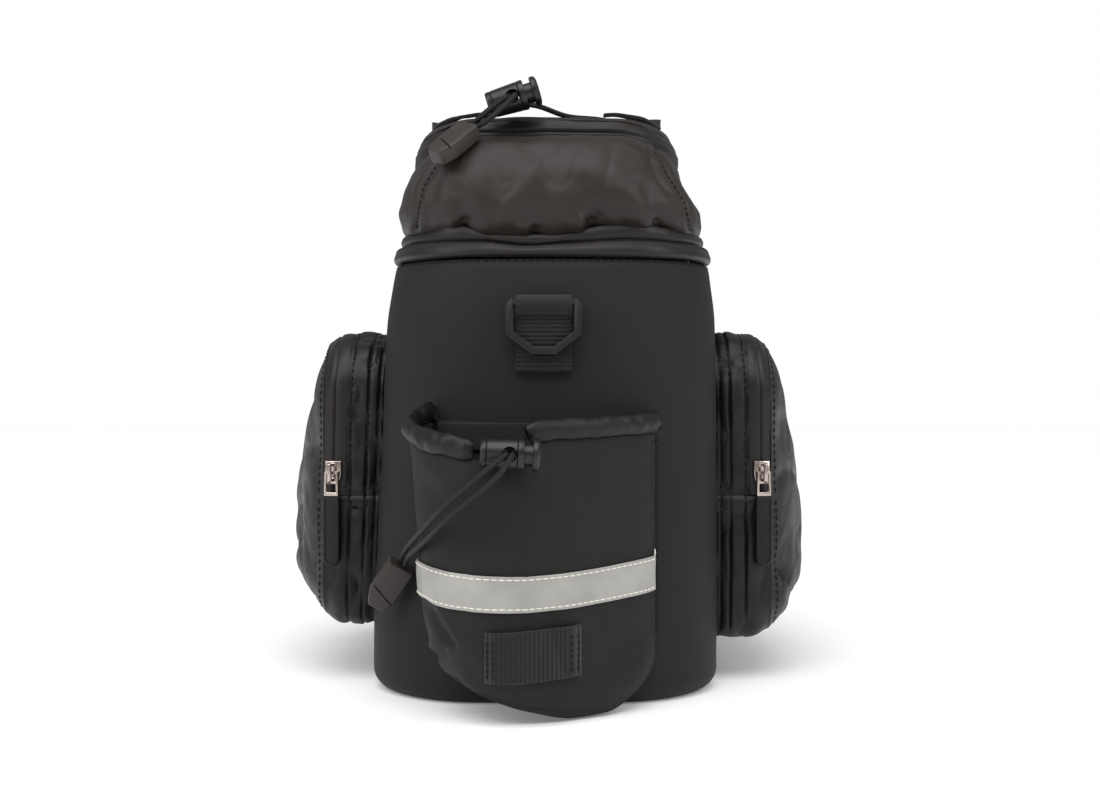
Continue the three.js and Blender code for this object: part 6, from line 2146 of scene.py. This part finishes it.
@dataclass
class Lacing:
    """The cord laced over the top and the two webbing straps that hold it."""

    form: BagForm
    lid: Lid
    top: bpy.types.Object
    crossings: tuple[float, ...] = (-66.0, -20.0, 26.0, 72.0)  # along the bag, in millimetres
    strap: tuple[float, float] = (6 * MM, 14 * MM)  # its edges, in from the top's edge
    strap_from: float = 26 * MM  # its rear end, across the bag
    strap_to: float = 84 * MM  # its front end, along the bag
    wall: float = 1.2 * MM
    arch: float = 4.9 * MM
    rib: float = 1.1 * MM  # from rib to rib
    cord: float = 2.5 * MM
    sides: int = 14

    def __post_init__(self) -> None:
        """Readies the top for rays."""
        self.tree = tree_of(self.top)

    def on_top(self, points: np.ndarray, above: Any) -> np.ndarray:
        """Sets points on the top.

        Args:
            points: Grid or list of points.
            above: How far over the top they lie.

        Returns:
            The set points.
        """
        high = np.array(points, float)
        high[..., 2] = 0.4
        return landed(self.tree, high, -UP, above)

    def build_strap(self, side: int) -> None:
        """Makes one strap, arched over each crossing.

        Args:
            side: -1 for the left one.
        """
        edges = []
        for inset in self.strap:
            insets = self.lid.tier_insets(self.lid.tier_lean + inset)
            ring, _ = self.form.ring(insets, (0.0, 0.0, 0.0), self.lid.slump)
            keep = ring[(side * ring[:, 0] > self.strap_from) & (ring[:, 1] < self.strap_to)]
            order = np.argsort(keep[:, 1] - side * 0.02 * keep[:, 0])
            edges.append(resampled(keep[order], 170))
        near = np.min(np.abs(edges[0][:, 1][:, None] - np.array(self.crossings) * MM), axis=1)
        lift = self.arch * (1 - rise(near, 4.9 * MM, 9.9 * MM))
        grid = np.array([mix(edges[0], edges[1], a) for a in np.linspace(0, 1, 9)])
        grid = self.on_top(grid, (0.35 * MM + self.wall + lift)[None, :])
        ribs = 0.18 * MM * np.sin(lengths_along(edges[0]) / self.rib * 2 * math.pi)
        grid[..., 2] += ribs[None, :]
        if side > 0:
            grid = grid[::-1]
        name = "left" if side < 0 else "right"
        sheet(f"strap_{name}_webbing", grid, self.wall, WEBBING, f"lacing_strap_{name}")

    def route(self) -> np.ndarray:
        """Lays out the cord, from the lock to the front and back over itself.

        Returns:
            The points that it passes.
        """
        middle, clear = 51.5, 6.4
        rest, inside = 1.95 * MM, middle - clear
        over = rest + 3.2 * MM
        y0, y1, y2, y3 = self.crossings

        def at(x: float, y: float, above: float = rest) -> list[float]:
            """A place on the top, in millimetres across and along."""
            point = np.array([x * MM + self.form.sway * self.lid.slump, y * MM, 0.4])
            return self.on_top(point[None], above)[0].tolist()

        def wrap(side: int, start: float, end: float) -> list[list[float]]:
            """Runs out under a strap, along its outer side and back in.

            Args:
                side: -1 for the left strap.
                start: Where it goes under, along the bag.
                end: Where it comes back.

            Returns:
                The places.
            """
            outside = middle + clear
            places = [(inside, 0), (middle, 0), (outside, 0.1), (outside, 0.5), (outside, 0.9), (middle, 1),
                      (inside, 1)]
            return [at(side * x, mix(start, end, s)) for x, s in places]

        def cross(start: float, end: float, low: float, high: float, above: float) -> list[list[float]]:
            """Over the top from one side to the other."""
            return [at(mix(start, end, s), mix(low, high, s), above) for s in (0.3, 0.7)]

        def fixed(*points: tuple[float, float, float]) -> list[list[float]]:
            """Points in millimetres as they stand."""
            return (np.array(points) * MM).tolist()

        ahead = fixed((-17, -117.6, 272.5), (-17, -113, 272.5), (-17, -108.4, 272.4), (-19.4, -102.6, 271.6))
        back = fixed((-4, -99.4, 272.6), (-12.4, -104.4, 273.2), (-14.4, -108.4, 273.3), (-14.4, -113, 273.3),
                     (-14.4, -117.6, 273.3))
        return np.array([*ahead, at(-30, -84), *wrap(-1, y0, y1), *cross(-inside, inside, y1, y2, rest),
                         *wrap(1, y2, y3), *cross(inside, -inside, y3, y3, rest), *wrap(-1, y3, y2),
                         *cross(-inside, inside, y2, y1, over), *wrap(1, y1, y0), at(26, -76),
                         at(10, -88), *back])

    def build(self) -> None:
        """Makes the straps and the cord."""
        self.build_strap(-1)
        self.build_strap(1)
        cord = swept(through(self.route(), 700), self.cord / 2, self.cord / 2, self.sides)
        shell("lacing_cord_braid", cord, ELASTIC, "lacing_cord")


@dataclass
class Drawcords:
    """The held and free cords at both locks."""

    cord: float = 2.5 * MM
    sides: int = 14
    steps: int = 12  # from one of its points to the next
    HELD = {
        "bottle_cord_left": ((-27.4, -190.8, 114.6), (-23, -190.6, 113.8), (-18.8, -190.6, 113.1),
                             (-16.6, -192.6, 112.8), (-16.4, -196, 112.7), (-16.4, -198.4, 112.7)),
        "bottle_cord_right": ((-9.6, -190.6, 119.4), (-10.6, -190.6, 116.4), (-12.2, -190.9, 113.6),
                              (-13.5, -192.8, 112.7), (-13.7, -196, 112.6), (-13.7, -198.4, 112.6)),
    }
    FREE = {
        "bottle_tail_left": ((-16.4, -199, 112.7), (-16.4, -202.3, 112.7), (-16.4, -206, 112.7),
                             (-17, -209.2, 112.1), (-19.2, -211.7, 110.4), (-23.2, -212.6, 107.2),
                             (-29.5, -211.2, 101.9), (-35.8, -208.2, 96.4), (-41.7, -203.6, 91.1),
                             (-47.4, -195.6, 85.2), (-52.4, -185.4, 79.8), (-56.8, -173.6, 75),
                             (-60.4, -161.4, 70.9), (-63, -150.8, 67.2), (-65, -142.4, 63.2)),
        "bottle_tail_right": ((-13.7, -199, 112.6), (-13.7, -202.3, 112.6), (-13.7, -205.6, 112.6),
                              (-14.1, -208.8, 111.8), (-15.6, -211.4, 109.5), (-18.4, -212.6, 105.6),
                              (-24, -211.8, 100), (-31.2, -209.2, 94.2), (-38, -204.8, 88.6),
                              (-44.2, -197.8, 82.6), (-49.6, -188.6, 77), (-54.6, -176.8, 72.2),
                              (-58.4, -164.6, 68.4), (-61, -153.4, 65.2), (-63, -143.4, 61.4)),
        "lid_tail_left": ((-17, -118.2, 272.5), (-17, -121.5, 272.5), (-17.2, -124.8, 272.4),
                          (-18.6, -128, 271.3), (-21.8, -130.2, 268.9), (-26.6, -131, 265),
                          (-31, -130.3, 261.3), (-35.1, -128.7, 257.9)),
        "lid_tail_right": ((-14.4, -118.2, 273.3), (-14.4, -121.6, 273.3), (-14.5, -125, 273.1),
                           (-15.4, -128.6, 271.5), (-18.2, -131.6, 268), (-23.4, -132.9, 263),
                           (-28.2, -132.3, 259.4), (-32.7, -130.7, 257.1)),
    }

    def tube(self, name: str, points: Sequence[Sequence[float]],
             node: str) -> tuple[bpy.types.Object, np.ndarray]:
        """Makes one cord.

        Args:
            name: The piece's name.
            points: The points that it passes, in millimetres.
            node: The CAD node that it replaces.

        Returns:
            The piece and its path.
        """
        path = through(np.array(points) * MM, self.steps * (len(points) - 1))
        radius = self.cord / 2
        return shell(name, swept(path, radius, radius, self.sides), ELASTIC, node), path

    def build(self) -> None:
        ends = {
            "bottle": CordEnd("bottle_cord_end", (-64.4, -141.4, 61.6), (-0.53, 0.33, -0.78),
                              (0.35, -0.9, 0.1)),
            "lid": CordEnd("lid_cord_end", (-34.6, -130.1, 256.8), (-0.62, -0.49, -0.61),
                           (-0.27, -0.59, 0.76)),
        }
        made = {key: end.build() for key, end in ends.items()}
        for node, points in self.HELD.items():
            self.tube(f"{node}_braid", points, node)
        for node, points in self.FREE.items():
            piece, path = self.tube(f"{node}_braid", points, node)


def main() -> None:
    """Builds the studio and the bag."""
    logging.basicConfig(level=logging.INFO, format="%(message)s")
    Studio().build()
    Drawcords().build()
    form = BagForm.from_frame()
    Tub(form).build()
    MainZip(form).build()
    dressed(eased("main_zip_slider", "main_zip_slider_casting", 0.8 * MM), NICKEL, "main_zip_slider")
    lid = Lid(form)
    lid.build_gusset()
    lid.build_tier()
    Lacing(form, lid, lid.build_top()).build()
    for side in (-1, 1):
        SidePocket(form, side).build()
    BottlePocket(form).build()
    RingTab().build()
    CordLock("bottle_lock", (-18.0, -200.76, 112.8), -0.05).build()
    CordLock("lid_lock", (-18.6, -118.0, 272.0), 0.3).build()


if __name__ == "__main__":
    main()
